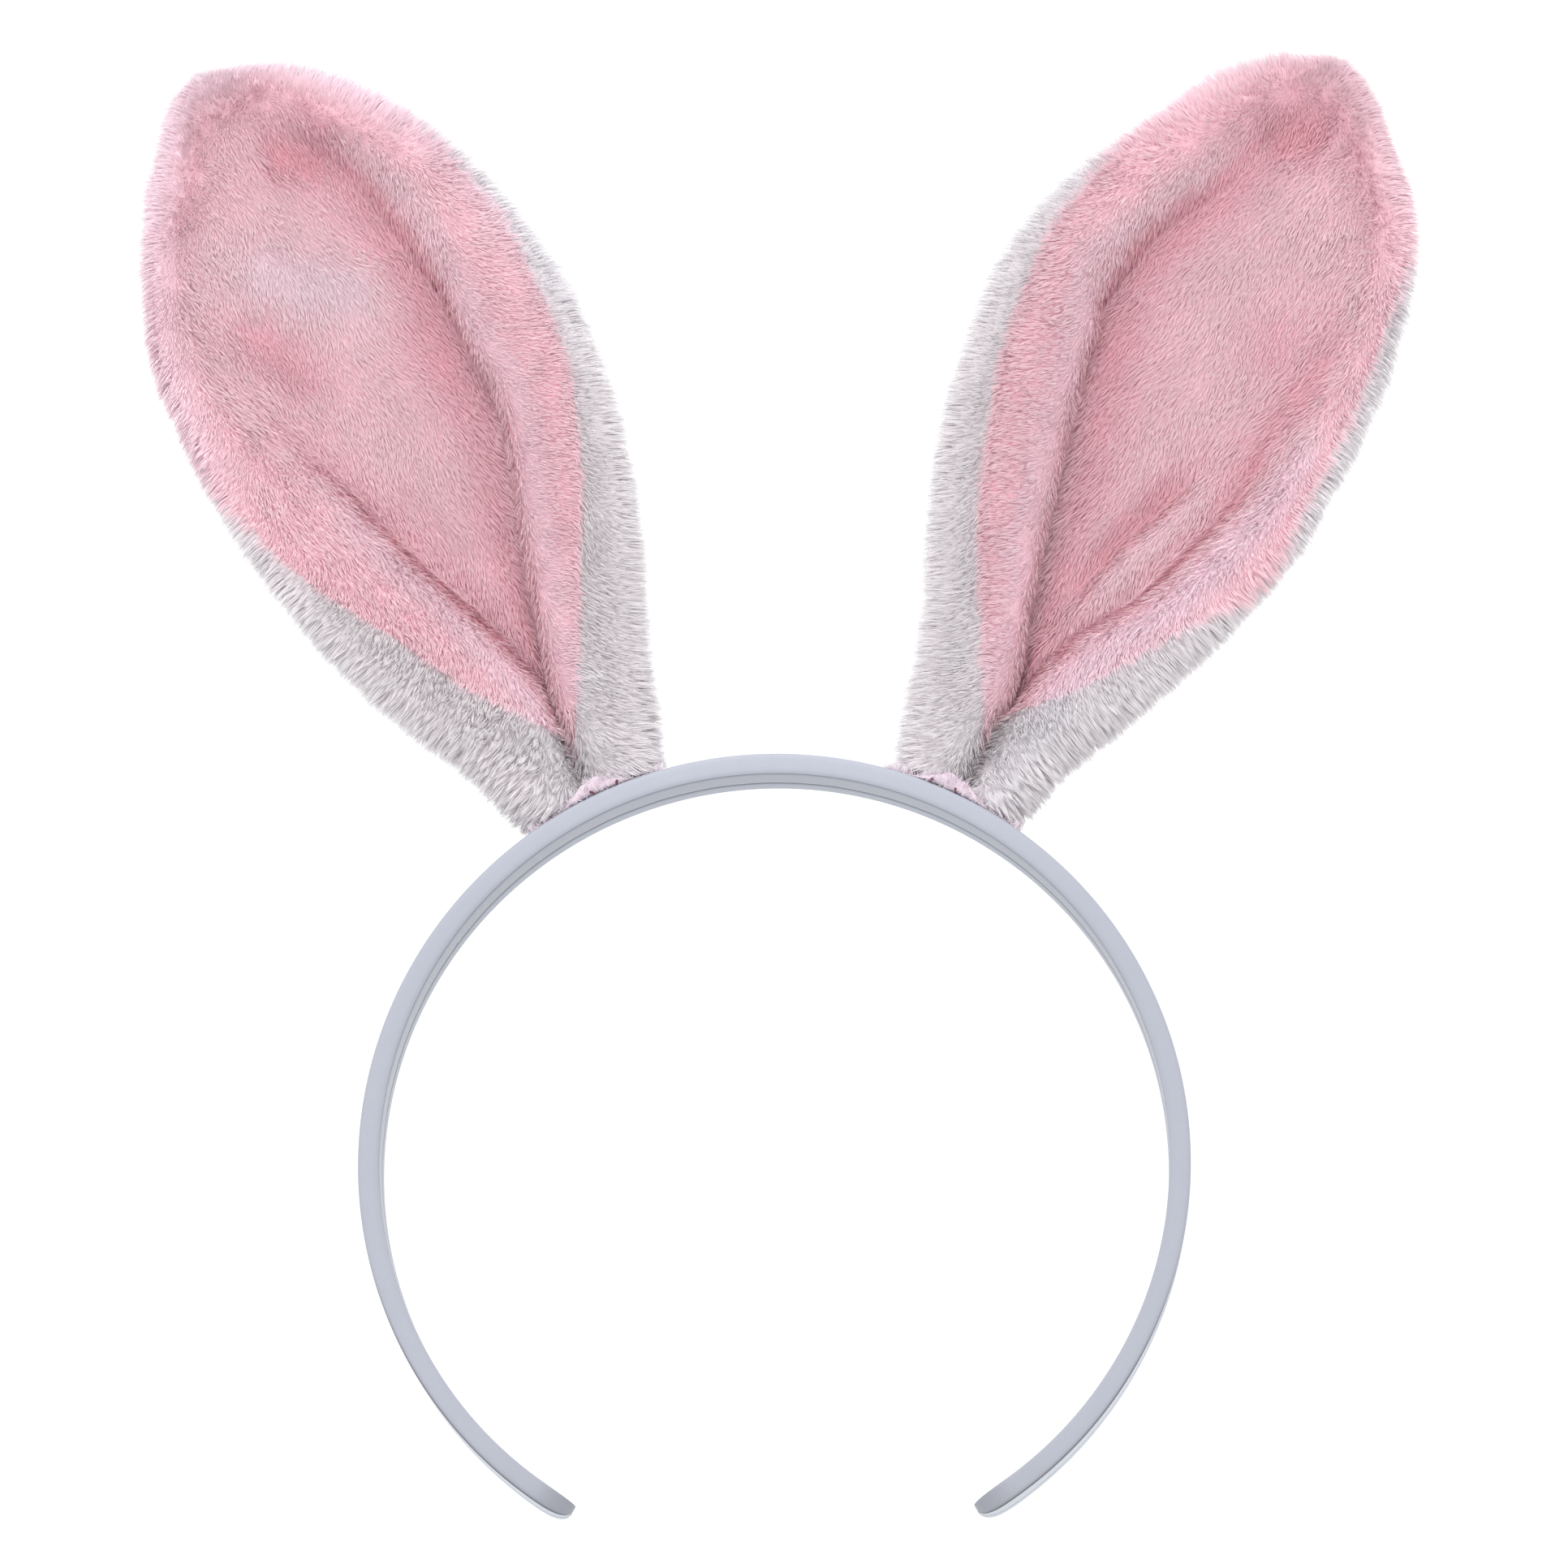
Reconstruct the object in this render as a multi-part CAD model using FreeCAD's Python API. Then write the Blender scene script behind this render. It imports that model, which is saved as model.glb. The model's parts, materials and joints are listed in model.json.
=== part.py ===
import FreeCAD, Part
import math
import os

from FreeCAD import Vector

# Animal ears headband: a satin-covered plastic hoop with two padded, wired plush ears.
# Millimetres. +Z is up, the ears' pink fronts face -Y, and the origin is the centre of
# the head opening, which is the centre of the hoop's arc.

# ---- hoop ----
HOOP_OUTER_RADIUS = 65.0
HOOP_THICKNESS = 3.2
HOOP_WIDTH = 12.0
HOOP_END_ANGLE = 150.0          # from the top of the hoop to the end of each arm
HOOP_CORNER_RADIUS = 1.2
COVER_THICKNESS = 0.6
LAP_LINE_Y = 1.3                # where the front satin's raw edge lies, on both faces

# ---- flexing arms ----
ARM_PIVOT_ANGLE = 50.0          # from the top, just outside the ears
ARM_PIVOT_RADIUS = 2.4
ARM_GAP = 0.15

# ---- ears ----
EAR_ANGLE = 25.8                # lean of each ear from vertical
EAR_SPINE_Y = 6.5               # back of the ear, along its middle line
EAR_FRONT_LIMIT_Y = -18.0       # nothing of the ear is in front of this
EAR_CUP_RADIUS = 24.0           # radius of the cupped section at the band
EAR_CUP_SPREAD = 22.0           # half angle of the cone that the ear is cupped on
EAR_CUP_START = -8.0            # the cone begins this far below the hoop's top
EAR_CUP_LENGTH = 175.0
PLUSH_THICKNESS = 2.5
WADDING_THICKNESS = 3.0
EAR_THICKNESS = 2 * PLUSH_THICKNESS + WADDING_THICKNESS
RIM_WIDTH = 3.0                 # white plush turned round the edge to the front
WIRE_INSET = 5.0
WIRE_SIZE = 1.4

# Ear outline, across and along the ear: from the outer base corner, over the tip, to
# the inner base corner. The inner side faces the middle of the headband.
EAR_OUTLINE = [
    (-12.5, 0), (-14.5, 12), (-20.5, 24), (-27.5, 42), (-32.0, 60), (-33.5, 78),
    (-32.2, 97), (-26.5, 114), (-17.0, 127), (-5.0, 135.5), (7.5, 130.5), (17.0, 118),
    (25.5, 101), (29.2, 84), (28.6, 65), (24.6, 44), (17.0, 24), (14.0, 12), (13.0, 0),
]

# ---- where the ears bend ----
TILT_HEIGHT = 8.8               # above the hoop's outer face
TILT_Y = 0.6
TILT_RADIUS = 7.5
FOLD_HEIGHT = 78.0
FOLD_Y = -3.5
FOLD_RADIUS = 12.0
FOLD_GAP = 0.3

# ---- where the ears are sewn on ----
ALLOWANCE_LENGTH = 23.0
ALLOWANCE_DEPTH = 10.0
ALLOWANCE_THICKNESS = 0.9
STITCH_COUNT = 5
STITCH_LENGTH = 2.0
STITCH_DIAMETER = 0.5
STITCH_PITCH = 4.2
THREAD_HEIGHT = 13.0
THREAD_SIZE = 0.8

REACH = 400.0                   # larger than the whole object, for cutting tools
WEDGE_STEPS = 8
WEDGE_LIMIT = 179.0             # past the ends of the arms
Y_AXIS = Vector(0, 1, 0)
ORIGIN = Vector(0, 0, 0)


def on_hoop(angle, radius, y=0.0):
    """A point at an angle from the top of the hoop, positive towards +X."""
    turn = math.radians(angle)
    return Vector(radius * math.sin(turn), y, radius * math.cos(turn))


def wedge(start, end):
    """Everything between two angles from the top of the hoop."""
    corners = [ORIGIN]
    for step in range(WEDGE_STEPS + 1):
        corners.append(on_hoop(start + (end - start) * step / WEDGE_STEPS, REACH))
    face = Part.Face(Part.makePolygon(corners + [ORIGIN]))
    face.translate(Vector(0, -REACH, 0))
    return face.extrude(Vector(0, 2 * REACH, 0))


def rounded_section(width, thickness, top, radius):
    """A rectangle with rounded corners across the hoop's band, below a given radius."""
    left = -width / 2
    right = width / 2
    bottom = top - thickness
    middle = radius * (1 - math.sqrt(0.5))
    edges = []
    ends = []
    corners = [(left, bottom, 1, 1), (right, bottom, -1, 1), (right, top, -1, -1), (left, top, 1, -1)]
    for y, z, to_y, to_z in corners:
        on_side = Vector(0, y, z + to_z * radius)
        on_face = Vector(0, y + to_y * radius, z)
        bulge = Vector(0, y + to_y * middle, z + to_z * middle)
        first, last = (on_side, on_face) if to_y == to_z else (on_face, on_side)
        edges.append(Part.Arc(first, bulge, last).toShape())
        ends.append((first, last))
    for index, (_, last) in enumerate(ends):
        following = ends[(index + 1) % len(ends)][0]
        edges.append(Part.LineSegment(last, following).toShape())
    return Part.Face(Part.Wire(Part.__sortEdges__(edges)))


def hoop_ring(inset):
    """The hoop's rounded section swept round its arc, with tongue-shaped ends."""
    thickness = HOOP_THICKNESS - 2 * inset
    width = HOOP_WIDTH - 2 * inset
    top = HOOP_OUTER_RADIUS - inset
    section = rounded_section(width, thickness, top, HOOP_CORNER_RADIUS - inset)
    section.rotate(ORIGIN, Y_AXIS, -HOOP_END_ANGLE)
    ring = section.revolve(ORIGIN, Y_AXIS, 2 * HOOP_END_ANGLE)
    return ring.common(tongue_ends(width / 2))


def tongue_ends(end_radius):
    """The arc's span, with a half-round end as each arm is seen from its side."""
    mid_radius = HOOP_OUTER_RADIUS - HOOP_THICKNESS / 2
    centre_angle = HOOP_END_ANGLE - math.degrees(HOOP_WIDTH / 2 / mid_radius)
    span = wedge(-centre_angle, 0).fuse(wedge(0, centre_angle))
    for side in (-1, 1):
        outward = on_hoop(side * centre_angle, 1)
        span = span.fuse(Part.makeCylinder(end_radius, REACH, ORIGIN, outward))
    return span


def arm_joint(side, radius):
    """A pin-shaped region across the hoop where an arm flexes."""
    middle = HOOP_OUTER_RADIUS - HOOP_THICKNESS / 2
    centre = on_hoop(side * ARM_PIVOT_ANGLE, middle, -REACH / 2)
    return Part.makeCylinder(radius, REACH, centre, Y_AXIS)


def hoop_regions():
    """Splits the hoop into its crown and its two flexing arms."""
    crown = wedge(-ARM_PIVOT_ANGLE, ARM_PIVOT_ANGLE)
    regions = {}
    for name, side in (("left_arm", -1), ("right_arm", 1)):
        crown = crown.cut(arm_joint(side, ARM_PIVOT_RADIUS + ARM_GAP))
        angles = sorted((side * ARM_PIVOT_ANGLE, side * WEDGE_LIMIT))
        regions[name] = wedge(*angles).fuse(arm_joint(side, ARM_PIVOT_RADIUS))
    regions["crown"] = crown
    return regions


def half_space(y_low, y_high):
    """Everything between two depths."""
    return Part.makeBox(2 * REACH, y_high - y_low, 2 * REACH, Vector(-REACH, y_low, -REACH))


def hoop_parts():
    """Plastic core, satin cover folded round it from the front, and rear edging."""
    outer = hoop_ring(0)
    core = hoop_ring(COVER_THICKNESS)
    skin = outer.cut(core)
    layers = {
        "core": core,
        "cover": skin.common(half_space(-REACH, LAP_LINE_Y)),
        "edging": skin.common(half_space(LAP_LINE_Y, REACH)),
    }
    parts = {}
    for region_name, region in hoop_regions().items():
        for layer_name, layer in layers.items():
            parts[region_name + "_" + layer_name] = layer.common(region)
    return parts


# An ear is built standing on the hoop's top: X is across it, towards the headband's
# middle, and Z is along it. It is then leaned over to its place on the hoop.

def ear_prism(inset):
    """The ear's outline, moved in from its sides and tip, carried through its depth."""
    points = []
    last = len(EAR_OUTLINE) - 1
    for index, (across, along) in enumerate(EAR_OUTLINE):
        before = EAR_OUTLINE[max(index - 1, 0)]
        after = EAR_OUTLINE[min(index + 1, last)]
        run_x = after[0] - before[0]
        run_z = after[1] - before[1]
        length = math.hypot(run_x, run_z)
        moved = Vector(across + inset * run_z / length, EAR_FRONT_LIMIT_Y, along - inset * run_x / length)
        if index in (0, last):
            moved.z = along
        points.append(moved)
    curve = Part.BSplineCurve()
    curve.interpolate(points)
    base = Part.LineSegment(points[-1], points[0])
    face = Part.Face(Part.Wire([curve.toShape(), base.toShape()]))
    return face.extrude(Y_AXIS * REACH)


def cup(depth):
    """The solid in front of the ear's cupped sheet, a depth in from the ear's back."""
    spread = math.radians(EAR_CUP_SPREAD)
    low = EAR_CUP_RADIUS + EAR_CUP_START * math.sin(spread) - depth
    high = low + EAR_CUP_LENGTH * math.sin(spread)
    axis = Vector(0, -math.sin(spread), math.cos(spread))
    backward = Vector(0, math.cos(spread), math.sin(spread))
    spine = Vector(0, EAR_SPINE_Y, EAR_CUP_START) - backward * depth
    return Part.makeCone(low, high, EAR_CUP_LENGTH * math.cos(spread), spine - backward * low, axis)


def sheet(near, far):
    """A layer of the cupped ear, between two depths in from its back."""
    return cup(near).cut(cup(far))


def slab(low, high):
    """Everything between two heights along the ear."""
    return Part.makeBox(2 * REACH, 2 * REACH, high - low, Vector(-REACH, -REACH, low))


def bend_pin(y, height, radius):
    """A pin-shaped region across the ear where it bends."""
    return Part.makeCylinder(radius, 2 * REACH, Vector(-REACH, y, height), Vector(1, 0, 0))


def ear_regions():
    """Splits an ear at its fold, with a rounded foot that rolls over the band."""
    lower = slab(TILT_HEIGHT, FOLD_HEIGHT).fuse(bend_pin(TILT_Y, TILT_HEIGHT, TILT_RADIUS))
    lower = lower.cut(bend_pin(FOLD_Y, FOLD_HEIGHT, FOLD_RADIUS + FOLD_GAP))
    upper = slab(FOLD_HEIGHT, REACH).fuse(bend_pin(FOLD_Y, FOLD_HEIGHT, FOLD_RADIUS))
    return {"lower": lower, "upper": upper}


def ear_layers():
    """White back panel with its turned rim, wadding, wire and pink front panel."""
    whole = ear_prism(0)
    inside = ear_prism(RIM_WIDTH)
    wadding_far = PLUSH_THICKNESS + WADDING_THICKNESS
    filling = inside.common(sheet(PLUSH_THICKNESS, wadding_far))
    front = inside.common(sheet(wadding_far, EAR_THICKNESS))
    back = whole.common(sheet(0, EAR_THICKNESS)).cut(inside.common(cup(PLUSH_THICKNESS)))
    wire_near = PLUSH_THICKNESS + (WADDING_THICKNESS - WIRE_SIZE) / 2
    loop = ear_prism(WIRE_INSET).cut(ear_prism(WIRE_INSET + WIRE_SIZE))
    wire = loop.common(sheet(wire_near, wire_near + WIRE_SIZE))
    return {
        "back_panel": back,
        "front_panel": front,
        "wadding": filling.cut(wire),
        "wire": wire,
    }


def gather_thread():
    """Thread wound round the pinched neck of the ear."""
    around = ear_prism(-THREAD_SIZE).common(sheet(-THREAD_SIZE, EAR_THICKNESS + THREAD_SIZE))
    neck = ear_prism(0).common(sheet(0, EAR_THICKNESS))
    return around.cut(neck).common(slab(THREAD_HEIGHT, THREAD_HEIGHT + THREAD_SIZE))


def seam_allowance():
    """The ear's turned-in raw edge, lying flat on the hoop's outer face."""
    half_angle = math.degrees(ALLOWANCE_LENGTH / 2 / HOOP_OUTER_RADIUS)
    low = HOOP_OUTER_RADIUS
    high = low + ALLOWANCE_THICKNESS
    start = Vector(0, -ALLOWANCE_DEPTH / 2, -HOOP_OUTER_RADIUS)
    ring = Part.makeCylinder(high, ALLOWANCE_DEPTH, start, Y_AXIS)
    ring = ring.cut(Part.makeCylinder(low, ALLOWANCE_DEPTH, start, Y_AXIS))
    span = wedge(-half_angle, half_angle)
    span.translate(Vector(0, 0, -HOOP_OUTER_RADIUS))
    return ring.common(span)


def stitches():
    """A row of stitches along the front of the seam allowance."""
    row = []
    for index in range(STITCH_COUNT):
        offset = (index - (STITCH_COUNT - 1) / 2) * STITCH_PITCH
        angle = math.degrees(offset / HOOP_OUTER_RADIUS)
        radius = HOOP_OUTER_RADIUS + ALLOWANCE_THICKNESS + STITCH_DIAMETER / 2
        middle = on_hoop(angle, radius, -ALLOWANCE_DEPTH / 2 + STITCH_LENGTH / 2)
        middle.z -= HOOP_OUTER_RADIUS
        start = middle - Y_AXIS * (STITCH_LENGTH / 2)
        row.append(Part.makeCylinder(STITCH_DIAMETER / 2, STITCH_LENGTH, start, Y_AXIS))
    return Part.makeCompound(row)


def ear_parts():
    """Every piece of one ear, standing on the top of the hoop."""
    parts = {"seam_allowance": seam_allowance(), "stitches": stitches(), "gather_thread": gather_thread()}
    regions = ear_regions()
    for layer_name, layer in ear_layers().items():
        for region_name, region in regions.items():
            parts[layer_name + "_" + region_name] = layer.common(region)
    return parts


def place_ear(shape, name):
    """Leans an ear piece to its place, and mirrors it for the other side."""
    placed = shape.copy()
    placed.translate(Vector(0, 0, HOOP_OUTER_RADIUS))
    placed.rotate(ORIGIN, Y_AXIS, -EAR_ANGLE)
    if name == "right":
        placed = placed.mirror(ORIGIN, Vector(1, 0, 0))
    return placed


def export(name, shape):
    """Writes one node, as its solid or its group of solids."""
    solids = shape.Solids
    result = solids[0] if len(solids) == 1 else Part.makeCompound(solids)
    result.exportStep(os.path.join("parts", name + ".step"))
    valid = all(solid.isValid() for solid in solids)
    print(name, "solids", len(solids), "volume", round(shape.Volume, 1), "valid", valid)


def main():
    os.makedirs("parts", exist_ok=True)
    for name, shape in hoop_parts().items():
        export(name, shape)
    pieces = ear_parts()
    for side in ("left", "right"):
        for name, shape in pieces.items():
            export(side + "_ear_" + name, place_ear(shape, side))


main()
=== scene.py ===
import json
import math

import bpy
import numpy as np
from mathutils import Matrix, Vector, kdtree


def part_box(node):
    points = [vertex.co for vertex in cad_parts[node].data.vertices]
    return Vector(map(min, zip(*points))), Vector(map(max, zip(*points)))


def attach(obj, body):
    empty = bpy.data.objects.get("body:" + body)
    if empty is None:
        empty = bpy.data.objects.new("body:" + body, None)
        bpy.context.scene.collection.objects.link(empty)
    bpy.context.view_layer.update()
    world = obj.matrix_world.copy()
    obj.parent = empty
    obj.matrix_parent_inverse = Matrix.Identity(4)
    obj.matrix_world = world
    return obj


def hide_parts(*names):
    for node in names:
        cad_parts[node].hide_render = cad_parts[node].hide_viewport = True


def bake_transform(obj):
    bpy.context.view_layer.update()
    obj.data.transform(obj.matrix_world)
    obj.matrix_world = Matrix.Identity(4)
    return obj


# The looks of the animal ears headband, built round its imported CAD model. Shapes are worked
# out in millimetres, in an ear's own axes where X runs across it towards the headband's
# middle, Y back and Z along it from the hoop, and are placed in the row frame in metres.

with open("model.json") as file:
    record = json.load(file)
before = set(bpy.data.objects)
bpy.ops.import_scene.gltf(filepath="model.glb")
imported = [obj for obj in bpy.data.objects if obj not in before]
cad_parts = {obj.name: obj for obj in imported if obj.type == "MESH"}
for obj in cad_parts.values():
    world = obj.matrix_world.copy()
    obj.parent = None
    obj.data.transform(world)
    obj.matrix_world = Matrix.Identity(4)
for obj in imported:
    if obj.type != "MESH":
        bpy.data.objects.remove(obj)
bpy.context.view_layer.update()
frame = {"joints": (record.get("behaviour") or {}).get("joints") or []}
JOINTS = {joint["name"]: joint for joint in frame["joints"]}

MM = 0.001
SIDES = ("left", "right")
UV_NAME = "OFBake"

# ---- hoop ----
HOOP_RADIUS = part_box("crown_cover")[1].z / MM
HOOP_MIDDLE_RADIUS = 63.4
HOOP_END_ANGLE = 150.0
HOOP_STATIONS = 210
TIP_ROUNDING = 6.0
TIP_STATIONS = 22
TIP_TAPER = 1.25
PUCKER_DEPTH = 0.02
CORNER_PLACE = (-5.72, 64.98)
GROOVE_PLACE, GROOVE_WIDTH = -5.3, 0.36
LAP_PLACE, LAP_WIDTH = 1.42, 0.34

# Sections of the hoop's pieces, depth and radius. The cover is folded round from the front,
# with a crease at each front corner, and its raw edges end at the lap gap.
COVER_SECTION = [
    (1.2, 64.98), (0.0, 65.03), (-2.0, 65.08), (-4.2, 65.1), (-5.35, 65.08), (-5.72, 64.98),
    (-5.92, 64.76), (-6.0, 64.4), (-6.02, 63.9), (-6.03, 63.4), (-6.02, 62.9), (-6.0, 62.4),
    (-5.95, 62.02), (-5.82, 61.82), (-5.62, 61.84), (-5.45, 62.12), (-5.25, 62.3), (-5.05, 62.12),
    (-4.9, 61.84), (-4.7, 61.77), (-4.0, 61.75), (-2.0, 61.74), (0.0, 61.76), (0.85, 61.8), (1.1, 61.9),
    (1.15, 62.1), (1.1, 62.38), (-4.7, 62.42), (-5.1, 62.9), (-5.15, 63.4), (-5.1, 63.9), (-4.7, 64.4),
    (1.1, 64.45), (1.22, 64.8),
]
EDGING_SECTION = [
    (1.7, 64.8), (1.9, 64.95), (3.0, 64.99), (4.6, 64.98), (5.4, 64.85), (5.82, 64.5), (5.98, 63.9),
    (6.0, 63.4), (5.98, 62.9), (5.9, 62.3), (5.65, 61.9), (5.2, 61.8), (4.4, 61.79), (3.0, 61.79),
    (2.0, 61.8), (1.75, 61.9), (1.7, 62.1), (1.72, 62.38), (4.6, 62.42), (5.2, 62.9), (5.3, 63.4),
    (5.2, 63.9), (4.6, 64.38), (1.72, 64.42),
]
CORE_SECTION = [
    (-4.6, 64.35), (-5.0, 63.9), (-5.05, 63.4), (-5.0, 62.9), (-4.6, 62.45), (4.5, 62.45), (5.1, 62.95),
    (5.2, 63.4), (5.1, 63.85), (4.5, 64.35),
]

# ---- ears ----
LEAN = math.atan2(JOINTS["right_ear_tilt"]["pos_m"][0], JOINTS["right_ear_tilt"]["pos_m"][2])
CUP_SPREAD = math.radians(22.0)
CUP_RADIUS = 24.0
CUP_START = -8.0
SPINE_Y = 6.5
EAR_BASE = 2.2
FOOT_RADIUS = 1.2
SHELL_INSET = 0.1
FOOT_INSET = 2.4
FOOT_SPREAD = 8
RIM_HEIGHT = 4.2
CLOSING_HALF_WIDTH = 7
BODY_TOP = 126.0
ROW_STEP = 1.05
CAP_ROWS = 16
SECTION_STEPS = 16
SPLIT_HEIGHT = 45.0
FRONT_COLUMNS = 96
BACK_COLUMNS = 104
UNEVENNESS = ((0.35, 26), (0.14, 9))
CLOTH_THICKNESS = 0.7
UV_LENGTH = 142

# From the hoop up, in (height along the ear, value) pairs: how high the rolled rims, the middle
# and the creases stand above the ear's back, how softly a roll starts, and how far the inner
# roll hangs over its crease.
INNER_ROLL_HEIGHT = [
    (0, 11.2), (10, 11.0), (20, 10.2), (45, 9.8), (70, 9.4), (90, 8.8), (105, 8.2), (120, 7.8),
    (135, 7.4),
]
OUTER_ROLL_HEIGHT = [
    (0, 11.2), (10, 11.0), (20, 10.2), (45, 9.4), (61, 8.8), (73, 8.0), (85, 7.6), (100, 7.4),
    (120, 7.4),
]
CENTRE_HEIGHT = [
    (0, 3.6), (20, 4.4), (40, 5.6), (60, 6.2), (80, 6.6), (100, 6.8), (115, 6.8), (125, 7.4),
    (135, 7.4),
]
INNER_CREASE_HEIGHT = [
    (0, 3.0), (20, 2.8), (45, 3.0), (65, 3.4), (80, 4.3), (92, 4.9), (104, 5.4), (119, 6.1), (128, 7.2),
]
OUTER_CREASE_HEIGHT = [
    (0, 3.0), (20, 3.2), (45, 3.6), (61, 4.4), (73, 5.8), (85, 6.8), (100, 7.2), (130, 7.3),
]
INNER_SOFTNESS = [(0, 1), (72, 1), (84, 1.6), (95, 4), (108, 6), (130, 7)]
OUTER_SOFTNESS = [(0, 1.2), (50, 1.4), (62, 2.5), (75, 5), (95, 8), (130, 8)]
UNDERCUT = [
    (0, 0.2), (15, 0.6), (30, 1.1), (60, 1.3), (76, 1.0), (90, -0.8), (104, -1.8), (120, -2.2),
    (135, -1),
]

# How strongly each fold gets its painted shade, how far from its crease, and where its roll gets a painted
# highlight: past the crease, how wide and how much.
INNER_SHADE = [(0, 0.5), (20, 1), (80, 1), (100, 0.8), (118, 0.6), (126, 0)]
INNER_SHADE_REACH = [(0, 3), (20, 5), (50, 8), (90, 9), (125, 6)]
OUTER_SHADE_REACH = 5.0
INNER_CROWN = (2.8, 2.2, 0.55)

EARS = {
    "left": {
        "pink_inner": [
            (0, 0.4), (9, 0.6), (12, 2.4), (18, 5), (24, 8.3), (30, 11.2), (36, 14.4), (42, 17.8),
            (48, 20.4), (54, 22.7), (60, 24.7), (66, 26.2), (72, 27.0), (84, 27.4), (90, 27.1),
            (96, 26.4), (102, 25.2), (110, 23.0), (120, 18.4), (128, 12), (134, 4),
        ],
        "pink_outer": [
            (0, 0.1), (9, 0.0), (12, -1.0), (18, -4.8), (24, -9.8), (30, -13.8), (36, -17.2),
            (42, -21.2), (48, -25.0), (54, -27.8), (60, -29.8), (66, -31.2), (72, -32.6), (78, -34.4),
            (84, -35.4), (96, -34.4), (108, -30.8), (120, -26.0), (132, -17),
        ],
        "inner_crease": [
            (0, 0.3), (8.5, 0.4), (19.3, 1.7), (25, 3.1), (33.4, 5.3), (41.6, 7.8), (50, 10.1),
            (56, 12.2), (62, 14.2), (66.5, 14.9), (71.5, 14.2), (77, 13.3), (83, 13.8), (90, 14.0),
            (96, 13.8), (103, 12.9), (110, 11.2), (117, 8.8), (126, 2), (136, -4),
        ],
        "outer_crease": [
            (0, -0.4), (8.5, -0.1), (19.5, 1.0), (28, -1.4), (37.6, -4.3), (48.7, -9.4), (56, -12.0),
            (65, -14.2), (72, -17.8), (88, -22), (104, -20), (120, -13), (136, -6),
        ],
        "grooves": [
            ([(-18, 99), (-14, 90), (-10, 80)], 4.5, 1.2),
            ([(-16, 106), (-5, 98), (8, 90)], 5.5, -1.3),
            ([(-4, 121), (2, 120), (8, 114)], 5.0, 1.8),
            ([(-9, 66), (-5, 54), (-1, 42)], 3.5, 0.5),
        ],
        "outline": [
            (-12.2, 0), (-14.2, 12), (-20.5, 24), (-27.5, 42), (-31.4, 60), (-32.8, 79), (-31.8, 96),
            (-25.4, 113.6), (-17.6, 127.0), (-8.0, 136.9), (7.4, 132.2), (18.6, 119.2), (26.5, 101.8),
            (30.0, 84), (29.8, 65), (25.8, 44), (18.4, 24), (14.0, 12), (12.4, 0),
        ],
        "tufted": 0.1,
        "outer_tufted": 0.14,
        "outer_crown": (3.0, 2.8, 1.0),
        "outer_shade": [(0, 0.5), (20, 0.9), (55, 0.8), (75, 0.25), (90, 0.0)],
        "rim_highlight": 0.55,
        "seed": 11,
    },
    "right": {
        "pink_inner": [
            (0, 0.0), (9, 0.0), (12, 0.3), (18, 2.6), (24, 5.7), (30, 9.0), (36, 12.4), (42, 15.4),
            (48, 17.6), (54, 19.6), (60, 21.4), (66, 22.9), (72, 24.0), (84, 25.2), (90, 25.2),
            (96, 24.2), (102, 23.1), (110, 21.6), (120, 17.0), (128, 11), (134, 3),
        ],
        "pink_outer": [
            (0, 0.1), (9, 0.0), (12, -1.4), (17, -3.0), (23, -10.0), (29, -14.6), (39, -21.8),
            (46, -27.0), (54, -29.8), (64, -30.3), (74, -30.6), (84, -30.8), (94, -30.2), (104, -28.6),
            (112, -27.6), (120, -25.6), (132, -17),
        ],
        "inner_crease": [
            (0, 0.1), (8, 0.0), (20, -1.0), (27.5, 0.7), (36, 2.9), (44, 5.4), (55, 7.9), (66, 10.4),
            (74, 12.0), (80, 12.4), (84, 14.0), (88, 16.6), (93, 14.6), (102, 10.4), (112, 5.0),
            (121, 3.0), (136, -4),
        ],
        "outer_crease": [
            (0, -0.4), (8, -0.4), (15, -1.4), (22, -2.6), (28.7, -4.6), (33.8, -7.6), (38, -11.0),
            (43, -13.9), (50, -16.6), (60, -20), (75, -23), (90, -24), (104, -20), (120, -13),
            (136, -6),
        ],
        "grooves": [
            ([(-0.6, 33), (-5, 48.4), (-8.8, 57.7), (-12.4, 68)], 3.2, 2.0),
            ([(-4, 36), (-10, 52), (-16, 66)], 3.0, -1.1),
            ([(-9, 124), (-3, 124), (3, 119)], 5.0, 1.8),
            ([(-14, 96), (-16, 84)], 6.0, 0.7),
        ],
        "outline": [
            (-11.6, 0), (-12.6, 12), (-18.6, 24), (-26.4, 42), (-31.4, 60), (-32.4, 78), (-31.2, 97),
            (-26.2, 114), (-17.0, 127), (-4.2, 136.4), (8.2, 131.4), (17.0, 118.2), (25.0, 101.4),
            (29.0, 84), (27.8, 65), (22.8, 44), (14.9, 24), (11.9, 12), (10.8, 0),
        ],
        "tufted": 0.35,
        "outer_tufted": 0.0,
        "outer_crown": (5.5, 4.6, 1.0),
        "outer_shade": [(0, 0.5), (20, 0.9), (55, 0.9), (85, 0.6), (105, 0.0)],
        "rim_highlight": 0.2,
        "seed": 23,
    },
}

# ---- pile ----
PILE_LENGTH = 3.1
PILE_WIDTH = 0.125
PILE_SUNK = 0.35
PILE_CURL = 26
PILE_FLOOR = 0.12
LEAN_SPREAD = 6
COMB_SPREAD = 0.09
STRAND_UV = np.array([[0, 0], [0.0006, 0], [0.0006, -0.008], [0, -0.008], [0.0003, -0.016]])
PILE_DENSITY = {"front": 16.0, "back": 12.0}
CLUMP_DENSITY = 0.8
CLUMP_RADIUS = 1.1
RIM_REACH = 8.0
FRINGE_REACH = 3.5
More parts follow.
